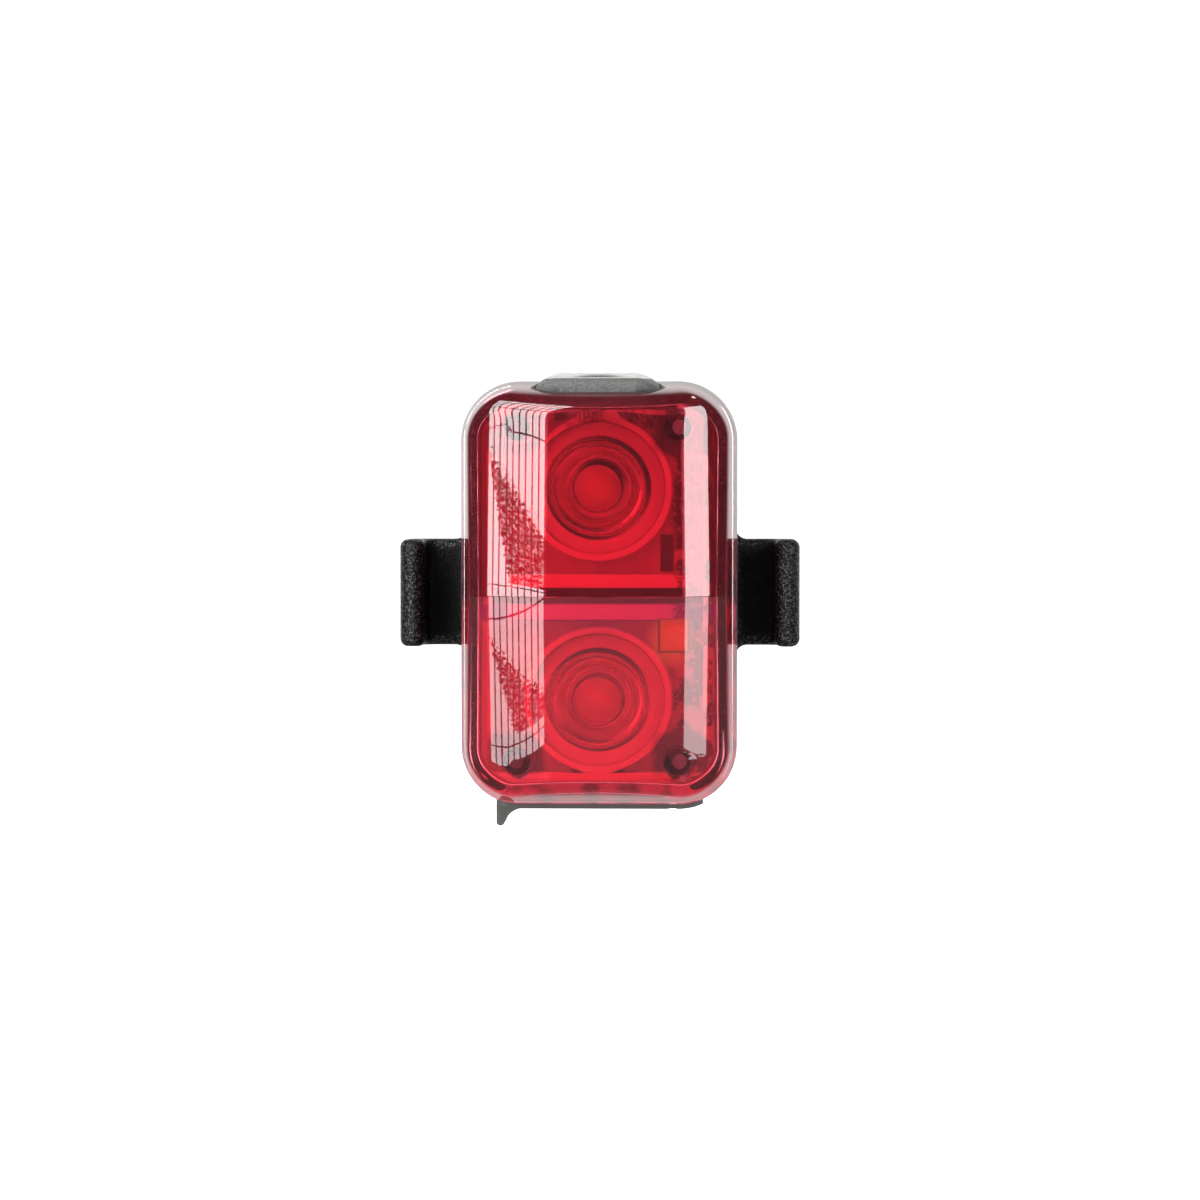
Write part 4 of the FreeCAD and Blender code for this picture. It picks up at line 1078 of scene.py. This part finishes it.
def resampled(line: Line, reach: list[float], count: int) -> Line:
    """Points of a line at even shares of a measure that grows along it.

    Args:
        line: The line's points.
        reach: The measure at each of them, from 0.
        count: Pieces that the new line has.

    Returns:
        The new line's points, both ends included.
    """
    points, at = [], 0
    for number in range(count + 1):
        aim = reach[-1] * number / count
        while at < len(reach) - 2 and reach[at + 1] < aim:
            at += 1
        share = (aim - reach[at]) / max(reach[at + 1] - reach[at], 1e-9)
        points.append(between(line[at], line[at + 1], min(max(share, 0.0), 1.0)))
    return points


def slope(angle: float) -> float:
    """Tangent of an angle in degrees."""
    return math.tan(math.radians(angle))


# The light's own pieces


@dataclass
class Body:
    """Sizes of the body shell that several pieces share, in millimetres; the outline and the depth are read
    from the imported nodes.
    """

    corner: float = 6.4
    wall: float = 1.6
    draft: float = 12.0
    bow: float = 25.0
    tilt: float = 1.6
    roll: float = 2.6
    roll_gap: float = 0.03
    crease_z: float = -0.2
    crease_step: float = 0.15
    crease_rows: Point = (0.0, 0.06, 0.16)
    crease_gap: float = 0.03
    tail: float = 13.0
    half_width: float = field(init=False)
    half_height: float = field(init=False)
    parting: float = field(init=False)
    front: float = field(init=False)

    def __post_init__(self) -> None:
        """Reads the outline and the depth from the lens cover and the housing."""
        low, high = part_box("lens_cover")
        self.half_width = round(high.x / MM, 2)
        self.half_height = round(high.z / MM, 2)
        self.front = round(low.y / MM, 2)
        self.parting = round(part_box("rear_housing")[0].y / MM, 2)

    def outline(self, inset: float, straight: int, arc: int) -> Line:
        """Rounded outline as (x, z) points, the same number for every inset.

        Args:
            inset: How far it is moved inwards.
            straight: Points along each straight side.
            arc: Steps round each corner.

        Returns:
            Points counter-clockwise seen from the front, from the right end of the crease line.
        """
        radius = max(self.corner - inset, 0.0)
        x, z = self.half_width - self.corner, self.half_height - self.corner
        reach_x, reach_z = self.half_width - inset, self.half_height - inset
        corner_x, corner_z = min(x, reach_x), min(z, reach_z)
        points: Line = []
        for side, start in ((1, 0), (-1, 180)):
            rows = self.rows(straight, side)
            points += [(side * reach_x, row) for row in rows]
            points += self.corner_arc(side * corner_x, side * corner_z, radius, start, arc)
            points += [(side * (x - 2 * x * step / (2 * straight)), side * reach_z)
                       for step in range(1, 2 * straight)]
            points += self.corner_arc(-side * corner_x, side * corner_z, radius, start + 90, arc)
            points += [(-side * reach_x, row) for row in reversed(rows)]
        return points

    def rows(self, straight: int, side: int) -> list[float]:
        """Heights along one half of a straight side, closely spaced beside the crease."""
        end = side * (self.half_height - self.corner)
        start = self.crease_z + side * self.crease_gap
        near = [start + side * row for row in self.crease_rows]
        count = straight - len(near)
        return near + [near[-1] + (end - near[-1]) * (step / count) for step in range(1, count)]

    def corner_arc(self, x: float, z: float, radius: float, start: float, steps: int) -> Line:
        """Points of a corner's quarter turn, both ends included."""
        turns = [math.radians(start + 90 * step / steps) for step in range(steps + 1)]
        return [(x + radius * math.cos(turn), z + radius * math.sin(turn)) for turn in turns]

    def wall_y(self, moved: float, inset: float) -> float:
        """Depth at which the drafted wall has moved in this far."""
        return self.parting - (moved - inset) / slope(self.draft)

    def front_y(self, x: float, z: float, inset: float = 0.0) -> float:
        """Depth of the bowed front at a place.

        Args:
            x: Place along X.
            z: Place along Z.
            inset: 0 for the outside, which is rolled over at both ends, or the wall for the inside.

        Returns:
            Its place along Y.
        """
        crest = self.bow - inset - (0.0 if z > self.crease_z else self.crease_step)
        radius = crest - abs(z - self.crease_z) * slope(self.tilt)
        y = self.front + self.bow - math.sqrt(max(radius ** 2 - x ** 2, 0.01))
        if inset > 0:
            return y
        turn = math.radians(90 - self.tail)
        rolled = self.roll * math.sin(turn)
        deep = self.parting - y - self.roll * (1 - math.cos(turn))
        bend = self.half_height - deep * slope(self.draft) - rolled - self.roll_gap
        over = max(abs(z) - bend, 0.0)
        sunk = min(over, rolled)
        return y + (self.roll - math.sqrt(self.roll ** 2 - sunk ** 2) + (over - sunk) / slope(self.tail))


@dataclass
class LensCover:
    """The clear red cover: a bowed front in two halves on a drafted wall, hollow, with bosses and a hole."""

    body: Body
    rim_spread: float = 0.50
    inner_spread: float = 0.18
    straight: int = 34
    arc: int = 28
    rings: int = 76
    sample: float = 0.05
    ring_length: float = 0.5
    ring_turn: float = 3.0
    boss_radius: float = 1.4
    boss_x: float = 8.4
    boss_z: float = 17.9
    boss_back: float = -11.05
    boss_sunk: float = 0.6
    boss_sides: int = 48
    hole_gap: float = 0.6
    hole_heights: Pair = (18.6, 26.0)
    outlines: dict[float, Line] = field(default_factory=dict)

    def section(self, index: int, inset: float, spread: float) -> list[Vector]:
        """Points of the skin from the parting plane over the rim to the front's flat, at one outline point.

        Args:
            index: Which point of the outline.
            inset: 0 for the outside, the wall for the inside.
            spread: How far the corner between wall and front is softened.

        Returns:
            The same number of points for every outline point.
        """
        body = self.body
        steps = int((body.corner - inset) / (self.sample * 0.5))
        raw: Line = []
        for step in range(steps + 1):
            moved = inset + (body.corner - inset) * step / steps
            x, z = self.spot(index, moved)
            raw.append((moved, max(body.wall_y(moved, inset), body.front_y(x, z, inset))))
        points = []
        for moved, y in self.picked(self.softened(self.evened(raw), spread)):
            x, z = self.spot(index, moved)
            points.append(Vector((x, y, z)))
        return points

    def spot(self, index: int, moved: float) -> Pair:
        """Place of an outline point that has moved in."""
        key = round(moved, 3)
        if key not in self.outlines:
            self.outlines[key] = self.body.outline(key, self.straight, self.arc)
        return self.outlines[key][index]

    def evened(self, line: Line) -> Line:
        """A line's points at even distances along it."""
        reach = [0.0]
        for start, end in zip(line, line[1:]):
            reach.append(reach[-1] + math.dist(start, end))
        return resampled(line, reach, max(int(reach[-1] / self.sample), 8))

    def softened(self, line: Line, spread: float) -> Line:
        """The line averaged over a short stretch that shrinks to nothing towards both ends.

        Args:
            line: Evenly spaced points.
            spread: How far the average reaches.

        Returns:
            As many points.
        """
        reach = int(3 * spread / self.sample)
        kernels = {}
        for room in range(1, reach + 1):
            width = spread * room / reach
            kernels[room] = [math.exp(-0.5 * (k * self.sample / width) ** 2) for k in range(-room, room + 1)]
        soft = []
        for at in range(len(line)):
            room = min(at, len(line) - 1 - at, reach)
            if room == 0:
                soft.append(line[at])
                continue
            weights, near = kernels[room], line[at - room:at + room + 1]
            total = sum(weights)
            soft.append((sum(w * m for w, (m, _) in zip(weights, near)) / total,
                         sum(w * y for w, (_, y) in zip(weights, near)) / total))
        return soft

    def picked(self, line: Line) -> Line:
        """Picks the skin's rings from a fine line, closer together where it turns.

        Args:
            line: Evenly spaced points.

        Returns:
            One point for each ring.
        """
        ways = [math.atan2(end[1] - start[1], end[0] - start[0]) for start, end in zip(line, line[1:])]
        turns = [abs(after - before) for before, after in zip(ways, ways[1:])] + [0.0]
        cost = [0.0]
        for start, end, turn in zip(line, line[1:], turns):
            length = math.dist(start, end)
            cost.append(cost[-1] + length / self.ring_length + turn / math.radians(self.ring_turn))
        return resampled(line, cost, self.rings)

    def skin(self, name: str, inset: float, spread: float) -> bpy.types.Object:
        """Builds one open skin of the cover, from the parting plane over the rim to the middle of the front.

        Args:
            name: The skin's name.
            inset: 0 for the outside, the wall for the inside.
            spread: How far the corner between wall and front is softened.

        Returns:
            The skin, open at the parting plane.
        """
        count = len(self.body.outline(0.0, self.straight, self.arc))
        columns = [self.section(index, inset, spread) for index in range(count)]
        vertices = [tuple(column[ring] * MM) for ring in range(self.rings + 1) for column in columns]
        faces = ring_faces(self.rings + 1, count, False)
        self.fill_front(vertices, faces, [column[-1] for column in columns], inset)
        return cleaned(mesh_piece(name, vertices, faces), 2e-6)

    def fill_front(self, vertices: list[Point], faces: list[Sequence[int]], ends: list[Vector],
                   inset: float) -> None:
        """Adds the middle of the front as a grid between the last ring's straight sides.

        Args:
            vertices: The skin's vertices, which grow.
            faces: The skin's faces, which grow.
            ends: The last ring's points.
            inset: 0 for the outside, the wall for the inside.
        """
        flat_x = self.body.half_width - self.body.corner
        flat_z = self.body.half_height - self.body.corner
        across = sorted({round(end.x, 4) for end in ends if abs(abs(end.z) - flat_z) < NEAR})
        up = sorted({round(end.z, 4) for end in ends if abs(abs(end.x) - flat_x) < NEAR})
        base, wide = len(vertices), len(across)
        for z in up:
            for x in across:
                vertices.append(tuple(Vector((x, self.body.front_y(x, z, inset), z)) * MM))
        for row in range(len(up) - 1):
            for column in range(wide - 1):
                corner = base + row * wide + column
                faces.append((corner, corner + 1, corner + wide + 1, corner + wide))

    def build(self) -> bpy.types.Object:
        """Builds the whole cover.

        Returns:
            The closed, hollow piece.
        """
        body = self.body
        piece = self.skin("lens_skin", 0.0, self.rim_spread)
        inside = self.skin("lens_inside", body.wall, self.inner_spread)
        with editing(inside):
            bpy.ops.mesh.flip_normals()
        select_only(piece, inside)
        bpy.ops.object.join()
        with editing(piece):
            pick(piece, "EDGE", lambda edge: edge.is_boundary)
            bpy.ops.mesh.bridge_edge_loops()
        cleaned(piece)
        for x in SIDES:
            for z in SIDES:
                front = body.front_y(self.boss_x, z * self.boss_z) + body.wall * self.boss_sunk
                middle = (x * self.boss_x, (front + self.boss_back) / 2, z * self.boss_z)
                size = (self.boss_radius, self.boss_back - front)
                combined(piece, bar("boss", size, middle, self.boss_sides, (90, 0, 0)), "UNION")
        button = PowerButton()
        size = (button.length + self.hole_gap, button.width + self.hole_gap)
        combined(piece, pill("button_hole", size, button.middle(), self.hole_heights), "DIFFERENCE")
        return smoothed(piece)


@dataclass
class Collimator:
    """Clear cup lens: a curved wall, a pocket over the emitter, a sunk middle lens and a seating flange."""

    name: str
    z: float
    back_radius: float = 3.1
    front_radius: float = 5.4
    flange_radius: float = 7.08
    flange_back: float = 2.75
    flange_thickness: float = 0.8
    waist: float = 4.75
    pocket_radius: float = 2.2
    pocket_depth: float = 2.9
    middle_radius: float = 2.5
    middle_depth: float = 1.1
    sunk: float = 0.12

    def build(self) -> bpy.types.Object:
        """Spins the cup's profile.

        Returns:
            The closed piece.
        """
        low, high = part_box(self.name)
        back, front = high.y / MM, low.y / MM
        seat = back - self.flange_back
        flange = seat - self.flange_thickness
        pocket, middle, outer = self.pocket_radius, self.middle_radius, self.flange_radius
        profile = [(0.0, back - self.pocket_depth)]
        profile += arc_points(profile[-1], (pocket - 0.1, back - 2.2), 0.12, 8)
        profile += [(pocket, back - 2.1), (pocket, back), (self.back_radius, back)]
        profile += arc_points(profile[-1], (self.waist, seat), -0.22, 8)
        profile += [(outer - 0.1, seat), (outer, seat - 0.1), (outer, flange + 0.1), (outer - 0.1, flange)]
        profile += [(self.waist + 0.18, flange)]
        profile += arc_points(profile[-1], (self.front_radius, front + 0.9), -0.05, 6)
        profile += [(self.front_radius, front + 0.08), (self.front_radius - 0.08, front)]
        profile += [(middle + 1.45, front), (middle + 1.35, front + self.sunk)]
        profile += [(middle + 0.08, front + self.sunk), (middle, front + 0.2)]
        profile += [(middle, front + self.middle_depth)]
        profile += arc_points(profile[-1], (0.0, front + 0.6), 0.12, 10)
        return smoothed(turned(f"{self.name}_optic", profile, self.z), 30.0)


@dataclass
class PowerButton:
    """Grey rubber button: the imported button's lips and arm under a leaning, dished crown with a soft rim."""

    length: float = 13.5
    width: float = 5.4
    lean: float = 9.0
    arch: float = 1.0
    arch_from: float = 3.0
    rim: float = 1.2
    rim_height: float = 0.70
    dish_depth: float = 0.55
    dish_margin: float = 0.9
    dish_slope: float = 0.9
    seat: float = 21.6
    sides: int = 96
    rings: tuple[float, ...] = (0.03, 0.06, 0.08, 0.10, 0.12, 0.16) + (0.18,) * 6 + (0.2, 0.2, 0.25, 0.3)

    def middle(self) -> float:
        """Depth of the pill's middle."""
        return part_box("power_button")[0].y / MM + self.width / 2

    def crown(self) -> float:
        """Height of the crown's middle, before rim, arch and dish."""
        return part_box("power_button")[1].z / MM - slope(self.lean) * self.width / 2

    def build(self) -> bpy.types.Object:
        """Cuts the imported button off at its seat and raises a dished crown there.

        Returns:
            The closed button.
        """
        middle, crown = self.middle(), self.crown()
        piece = pill("button_rubber", (self.length, self.width), middle, (self.seat - 0.1, crown),
                     self.sides)
        with editing(piece):
            pick(piece, "FACE", lambda face: face.normal.z > 0.9)
            for step in self.rings:
                bpy.ops.mesh.inset(thickness=step * MM, depth=0)
        for vertex in piece.data.vertices:
            if vertex.co.z > (crown - 0.01) * MM:
                vertex.co.z = self.top_z(vertex.co.x / MM, vertex.co.y / MM - middle, crown) * MM
        root = merged_copy("button_root", "power_button")
        with editing(root):
            bpy.ops.mesh.bisect(plane_co=(0, 0, self.seat * MM), plane_no=(0, 0, 1), use_fill=True,
                                clear_outer=True)
        return smoothed(combined(piece, root, "UNION"))

    def top_z(self, x: float, y: float, crown: float) -> float:
        """Height of the crown at a place on the pill.

        Args:
            x: Place along the pill.
            y: Place across it, from its middle.
            crown: Height of the crown's middle.

        Returns:
            Its place along Z.
        """
        half, end = self.width / 2, self.length / 2
        inside = half - math.hypot(max(abs(x) - (end - half), 0.0), y)
        edge = self.rim_height * (1 - math.sqrt(max(1 - max(1 - inside / self.rim, 0.0) ** 2, 0.0)))
        share = min(max((inside - self.dish_margin) / self.dish_slope, 0.0), 1.0)
        dish = self.dish_depth * share * share * (3 - 2 * share)
        bow = max((abs(x) - self.arch_from) / (end - self.arch_from), 0.0)
        return crown + y * slope(self.lean) - edge - dish - self.arch * bow * bow


@dataclass
class HingeWeb:
    """Thin rubber web that joins the flap to its anchor."""

    start: float = 8.8
    end: float = 7.3
    height: float = -22.85
    thickness: float = 1.32
    side_gap: float = 0.08
    rounding: float = 0.16
    steps: int = 12

    def build(self) -> bpy.types.Object:
        """Stretches a bar over the gap and divides it along its length.

        Returns:
            The web, with its ends inside the flap and the anchor.
        """
        low, high = [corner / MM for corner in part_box("port_flap")]
        middle = Vector(((self.start + self.end) / 2, (low.y + high.y) / 2, self.height))
        depth = high.y - low.y - 2 * self.side_gap
        bpy.ops.object.select_all(action="DESELECT")
        bpy.ops.mesh.primitive_cube_add(size=1.0, location=middle * MM)
        piece = bpy.context.active_object
        piece.name = "hinge_web"
        piece.scale = Vector((self.start - self.end, depth, self.thickness)) * MM
        fixed(piece)
        modified(piece, "BEVEL", width=self.rounding * MM, segments=3)
        with editing(piece):
            for step in range(1, self.steps):
                bpy.ops.mesh.select_all(action="SELECT")
                cut = self.end + (self.start - self.end) * step / self.steps
                bpy.ops.mesh.bisect(plane_co=(cut * MM, 0, 0), plane_no=(1, 0, 0))
        LOG.info("hinge web: %d faces", len(piece.data.polygons))
        return smoothed(piece)

    def bend(self, piece: bpy.types.Object) -> None:
        """Moves the web's place into its mesh."""
        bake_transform(piece)


@dataclass
class RimRing:
    """Thin flat ring on the lens's rear face that closes the slit between the bezel and the wall, and carries
    a painted glow.
    """

    body: Body
    outer: float = 0.85
    inner: float = 3.4
    drop: float = 1.02
    front: float = -12.74
    back: float = -12.58
    straight: int = 6
    arc: int = 16

    def build(self) -> bpy.types.Object:
        """Joins four outlines into a closed ring.

        Returns:
            The ring, at the origin.
        """
        vertices: list[Point] = []
        for inset, y in ((self.outer, self.front), (self.inner, self.front),
                         (self.inner, self.back), (self.outer, self.back)):
            vertices += [(x * MM, y * MM, z * (self.drop if z < 0 else 1.0) * MM)
                         for x, z in self.body.outline(inset, self.straight, self.arc)]
        faces = ring_faces(4, len(vertices) // 4, True)
        return smoothed(cleaned(mesh_piece("rim_ring", vertices, faces)))


# The studio


def way_to(azimuth: float, elevation: float) -> Vector:
    """Direction at so many degrees to the right of the view from the front and above the horizon."""
    turn, rise = math.radians(azimuth), math.radians(elevation)
    return Vector((math.sin(turn) * math.cos(rise), -math.cos(turn) * math.cos(rise), math.sin(rise)))


@dataclass(frozen=True)
class SoftBox(Finish):
    """Soft box that faces the light and is hidden from the camera itself.

    It stands at an azimuth and elevation in degrees. All sizes are in millimetres on its face. cells are
    columns and rows of cloth between its seams. gaps are dark wedges, each as (x, y, first slope, second
    slope, foot), which open to the right and down from their tip as far as their foot. bars are dark level
    seams, each as (middle, half width).
    """

    name: str
    azimuth: float
    elevation: float
    size: Pair
    radiance: float
    cells: tuple[int, int] = (1, 1)
    gaps: tuple[tuple[float, ...], ...] = ()
    bars: tuple[Pair, ...] = ()
    glossy: bool = True
    distance: float = 620.0
    seam_width: float = 15.0
    seam_slope: float = 0.0044
    dimmed: float = 0.63
    wander: float = 22.0
    gap_edge: float = 0.8

    def build(self) -> None:
        """Hangs the panel and marks it as stage."""
        bpy.ops.object.select_all(action="DESELECT")
        way = way_to(self.azimuth, self.elevation)
        bpy.ops.mesh.primitive_plane_add(size=1.0)
        panel = bpy.context.active_object
        panel.name = self.name
        panel.data.transform(Matrix.Diagonal((self.size[0] * MM, self.size[1] * MM, 1.0, 1.0)))
        panel.location = way * self.distance * MM
        panel.rotation_euler = way.to_track_quat("Z", "Y").to_euler()
        panel.visible_camera = False
        panel.visible_glossy = self.glossy
        panel.data.materials.append(self.make(f"{self.name}_cloth"))

    def surface(self, shade: Shade) -> Sock:
        """Glowing cloth with dark seams, dimmer below the horizon, and dark in its gaps.

        Args:
            shade: The material's node tree.

        Returns:
            The shader's output.
        """
        x, y = shade.axes("XY")
        horizon = -self.distance * slope(self.elevation)
        lit = y.step(horizon, 2.0) * (1.0 - self.dimmed) + self.dimmed
        for along, count, width in ((x, self.cells[0], self.size[0]), (y, self.cells[1], self.size[1])):
            if count > 1:
                cell = width / count
                seam = (along / cell + (0.5 if count % 2 else 0.0)).maths("PINGPONG", 0.5) * cell
                lit = lit * seam.step(self.seam_width / 6, self.seam_width / 4)
        strokes = shade.noise(1.0, 4.0, 0.7, (0.045, 0.9, 0.001))
        wander = (strokes - 0.5) * self.wander
        level = y - (x + self.size[0] / 2) * self.seam_slope
        for tip_x, tip_y, upper, lower, foot in self.gaps:
            across = x - tip_x
            below = ((across * upper + wander - y + tip_y) / self.gap_edge).clamped()
            above = ((y - across * lower + wander - tip_y) / self.gap_edge).clamped()
            inside = below * above * level.step(foot, 0.3)
            lit = lit * (1.0 - inside * ((strokes - 0.25) * 3.5).clamped(0.4, 1.0))
        for middle, half in self.bars:
            lit = lit * abs(level - middle).step(half * 0.5, half)
        return shade.node("ShaderNodeEmission", {}, {"Color": WHITE, "Strength": lit * self.radiance})


@dataclass
class Studio:
    """White sweep, soft lights and the camera of the photograph's view, in degrees and millimetres."""

    body: Body
    view: Pair = (2.0, 1.5)
    distance: float = 450.0
    frame_width: float = 130.4
    aim_x: float = 0.1
    aim_z: float = -0.74
    sensor: float = 36.0
    floor_drop: float = 40.0

    def camera(self) -> None:
        """Creates the camera, aimed level with the crease from the front."""
        back = way_to(*self.view)
        data = bpy.data.cameras.new("camera")
        data.sensor_width = self.sensor
        data.lens = self.sensor * self.distance / self.frame_width
        data.clip_start = 0.01
        data.clip_end = 50.0
        camera = bpy.data.objects.new("camera", data)
        bpy.context.scene.collection.objects.link(camera)
        camera.location = (Vector((self.aim_x, self.body.parting, self.aim_z)) + back * self.distance) * MM
        camera.rotation_euler = (-back).to_track_quat("-Z", "Y").to_euler()
        bpy.context.scene.camera = camera

    def lights(self) -> None:
        """Upright soft boxes on both sides in front, a small lamp, and one box overhead."""
        gaps = ((-172.0, -57.3, -0.056, -0.249, -91.4), (-172.0, -168.0, -0.053, -0.156, -195.0))
        bars = ((-52.6, 0.22), (-92.0, 0.15), (-163.0, 0.3), (-197.6, 0.2))
        for box in (SoftBox("softbox_left", -43.5, 10.0, (350.0, 402.0), 12.0, (9, 1), gaps, bars),
                    SoftBox("softbox_left_upper", -43.5, 44.0, (350.0, 320.0), 12.0, (9, 3)),
                    SoftBox("softbox_right", 50.0, 12.0, (140.0, 445.0), 11.0),
                    SoftBox("lamp", 113.8, 66.4, (44.0, 44.0), 45.0),
                    SoftBox("softbox_top", 0.0, 80.0, (600.0, 500.0), 5.0, glossy=False)):
            box.build()

    def world(self) -> None:
        """Pale surroundings that are bright behind the light and dim in front of it."""
        world = bpy.data.worlds.new("studio")
        bpy.context.scene.world = world
        shade = Shade(world)
        y, z = shade.split(shade.node("ShaderNodeTexCoord", {}, {}, "Generated"), "YZ")
        behind = shade.ranged(y, (0.42, 0.86), (0.07, 1.15), "SMOOTHSTEP")
        around = behind * shade.ranged(z, (-0.030, -0.024), (0.50, 1.0))
        ground = around.maths("MAXIMUM", shade.ranged(z, (-0.03, 0.01), (0.32, 0.0)))
        seen = ground.maths("MAXIMUM", shade.node("ShaderNodeLightPath", {}, {}, "Is Camera Ray"))
        sky = shade.node("ShaderNodeBackground", {}, {"Color": WHITE, "Strength": seen})
        shade.node("ShaderNodeOutputWorld", {}, {"Surface": sky})

    def floor(self) -> None:
        """Plain pale floor a little under the part."""
        bpy.ops.object.select_all(action="DESELECT")
        bpy.ops.mesh.primitive_plane_add(size=12.0, location=(0, 0, -self.floor_drop * MM))
        floor = fixed(bpy.context.active_object)
        floor.name = "floor"
        floor.visible_glossy = False
        floor.data.materials.append(FloorPaper().make("floor_paper"))

    def build(self) -> None:
        """Sets the whole studio up."""
        self.camera()
        self.lights()
        self.world()
        self.floor()
        view = bpy.context.scene.view_settings
        view.view_transform = "Standard"
        view.look = "None"


@dataclass
class TailLight:
    """The whole light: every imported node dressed, and the pieces that stand in for some of them."""

    wardrobe: Wardrobe
    body: Body
    window_growth: float = 1.06

    def dress_nodes(self) -> None:
        """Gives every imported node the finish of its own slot."""
        slots = {part["node"]: part["material_slot"] for part in frame["record"]["subparts"]}
        for name, node in frame["nodes"].items():
            self.wardrobe.dress(node, Slot(slots[name]))
            LOG.info("dressed %s in %s", name, slots[name])

    def add(self, piece: bpy.types.Object, node: str, slot: Slot, finish: Finish | None = None) -> None:
        """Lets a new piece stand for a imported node.

        Args:
            piece: The finished mesh.
            node: The node that it replaces.
            slot: The slot that it takes its finish from.
            finish: The piece's own finish, where it isn't the slot's.
        """
        bodies = frame["record"]["behaviour"]["bodies"]
        body = next(name for name, members in bodies.items() if node in members)
        self.wardrobe.dress(piece, slot, finish)
        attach(piece, body)
        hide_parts(node)
        LOG.info("%s stands for %s: %d faces", piece.name, node, len(piece.data.polygons))

    def add_web(self) -> None:
        """Adds the web between the flap and its anchor."""
        web = HingeWeb()
        piece = web.build()
        self.wardrobe.dress(piece, Slot.GREY_RUBBER)
        web.bend(piece)

    def add_ring(self) -> None:
        """Adds the ring behind the lens, in its own finish of painted glow."""
        ring = RimRing(self.body).build()
        ring.data.materials.append(RimFinish().make(ring.name))
        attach(ring, "light")

    def charge_window(self) -> bpy.types.Object:
        """Softens the amber light's block and widens it a little, so that it fills its frame.

        Returns:
            The block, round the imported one's middle.
        """
        window = edge_softened("charge_window", "status_led", 0.25)
        low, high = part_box("status_led")
        centre = (low + high) / 2
        grow = Matrix.Diagonal((self.window_growth, 1.0, self.window_growth, 1.0))
        window.data.transform(Matrix.Translation(centre) @ grow @ Matrix.Translation(-centre))
        return window

    def build(self) -> None:
        """Builds and dresses everything."""
        self.dress_nodes()
        button = PowerButton()
        self.add(LensCover(self.body).build(), "lens_cover", Slot.RED_LENS)
        self.add(edge_softened("bezel_moulding", "inner_bezel", 0.14), "inner_bezel", Slot.SATIN_WHITE)
        self.add(button.build(), "power_button", Slot.GREY_RUBBER, ButtonFinish(button.middle()))
        self.add(edge_softened("flap_rubber", "port_flap", 0.22), "port_flap", Slot.GREY_RUBBER)
        self.add(edge_softened("anchor_rubber", "flap_anchor", 0.22), "flap_anchor", Slot.GREY_RUBBER)
        self.add_web()
        self.add_ring()
        self.add(self.charge_window(), "status_led", Slot.AMBER_EPOXY)
        for name, side in (("collimator_upper", 1), ("collimator_lower", -1)):
            self.add(Collimator(name, side * WELL_Z).build(), name, Slot.CLEAR_OPTIC)


def main() -> None:
    """Builds the studio and the light, and reports each piece."""
    logging.basicConfig(level=logging.INFO, format="%(name)s: %(message)s")
    body = Body()
    Studio(body).build()
    TailLight(Wardrobe(), body).build()


if __name__ == "__main__":
    main()
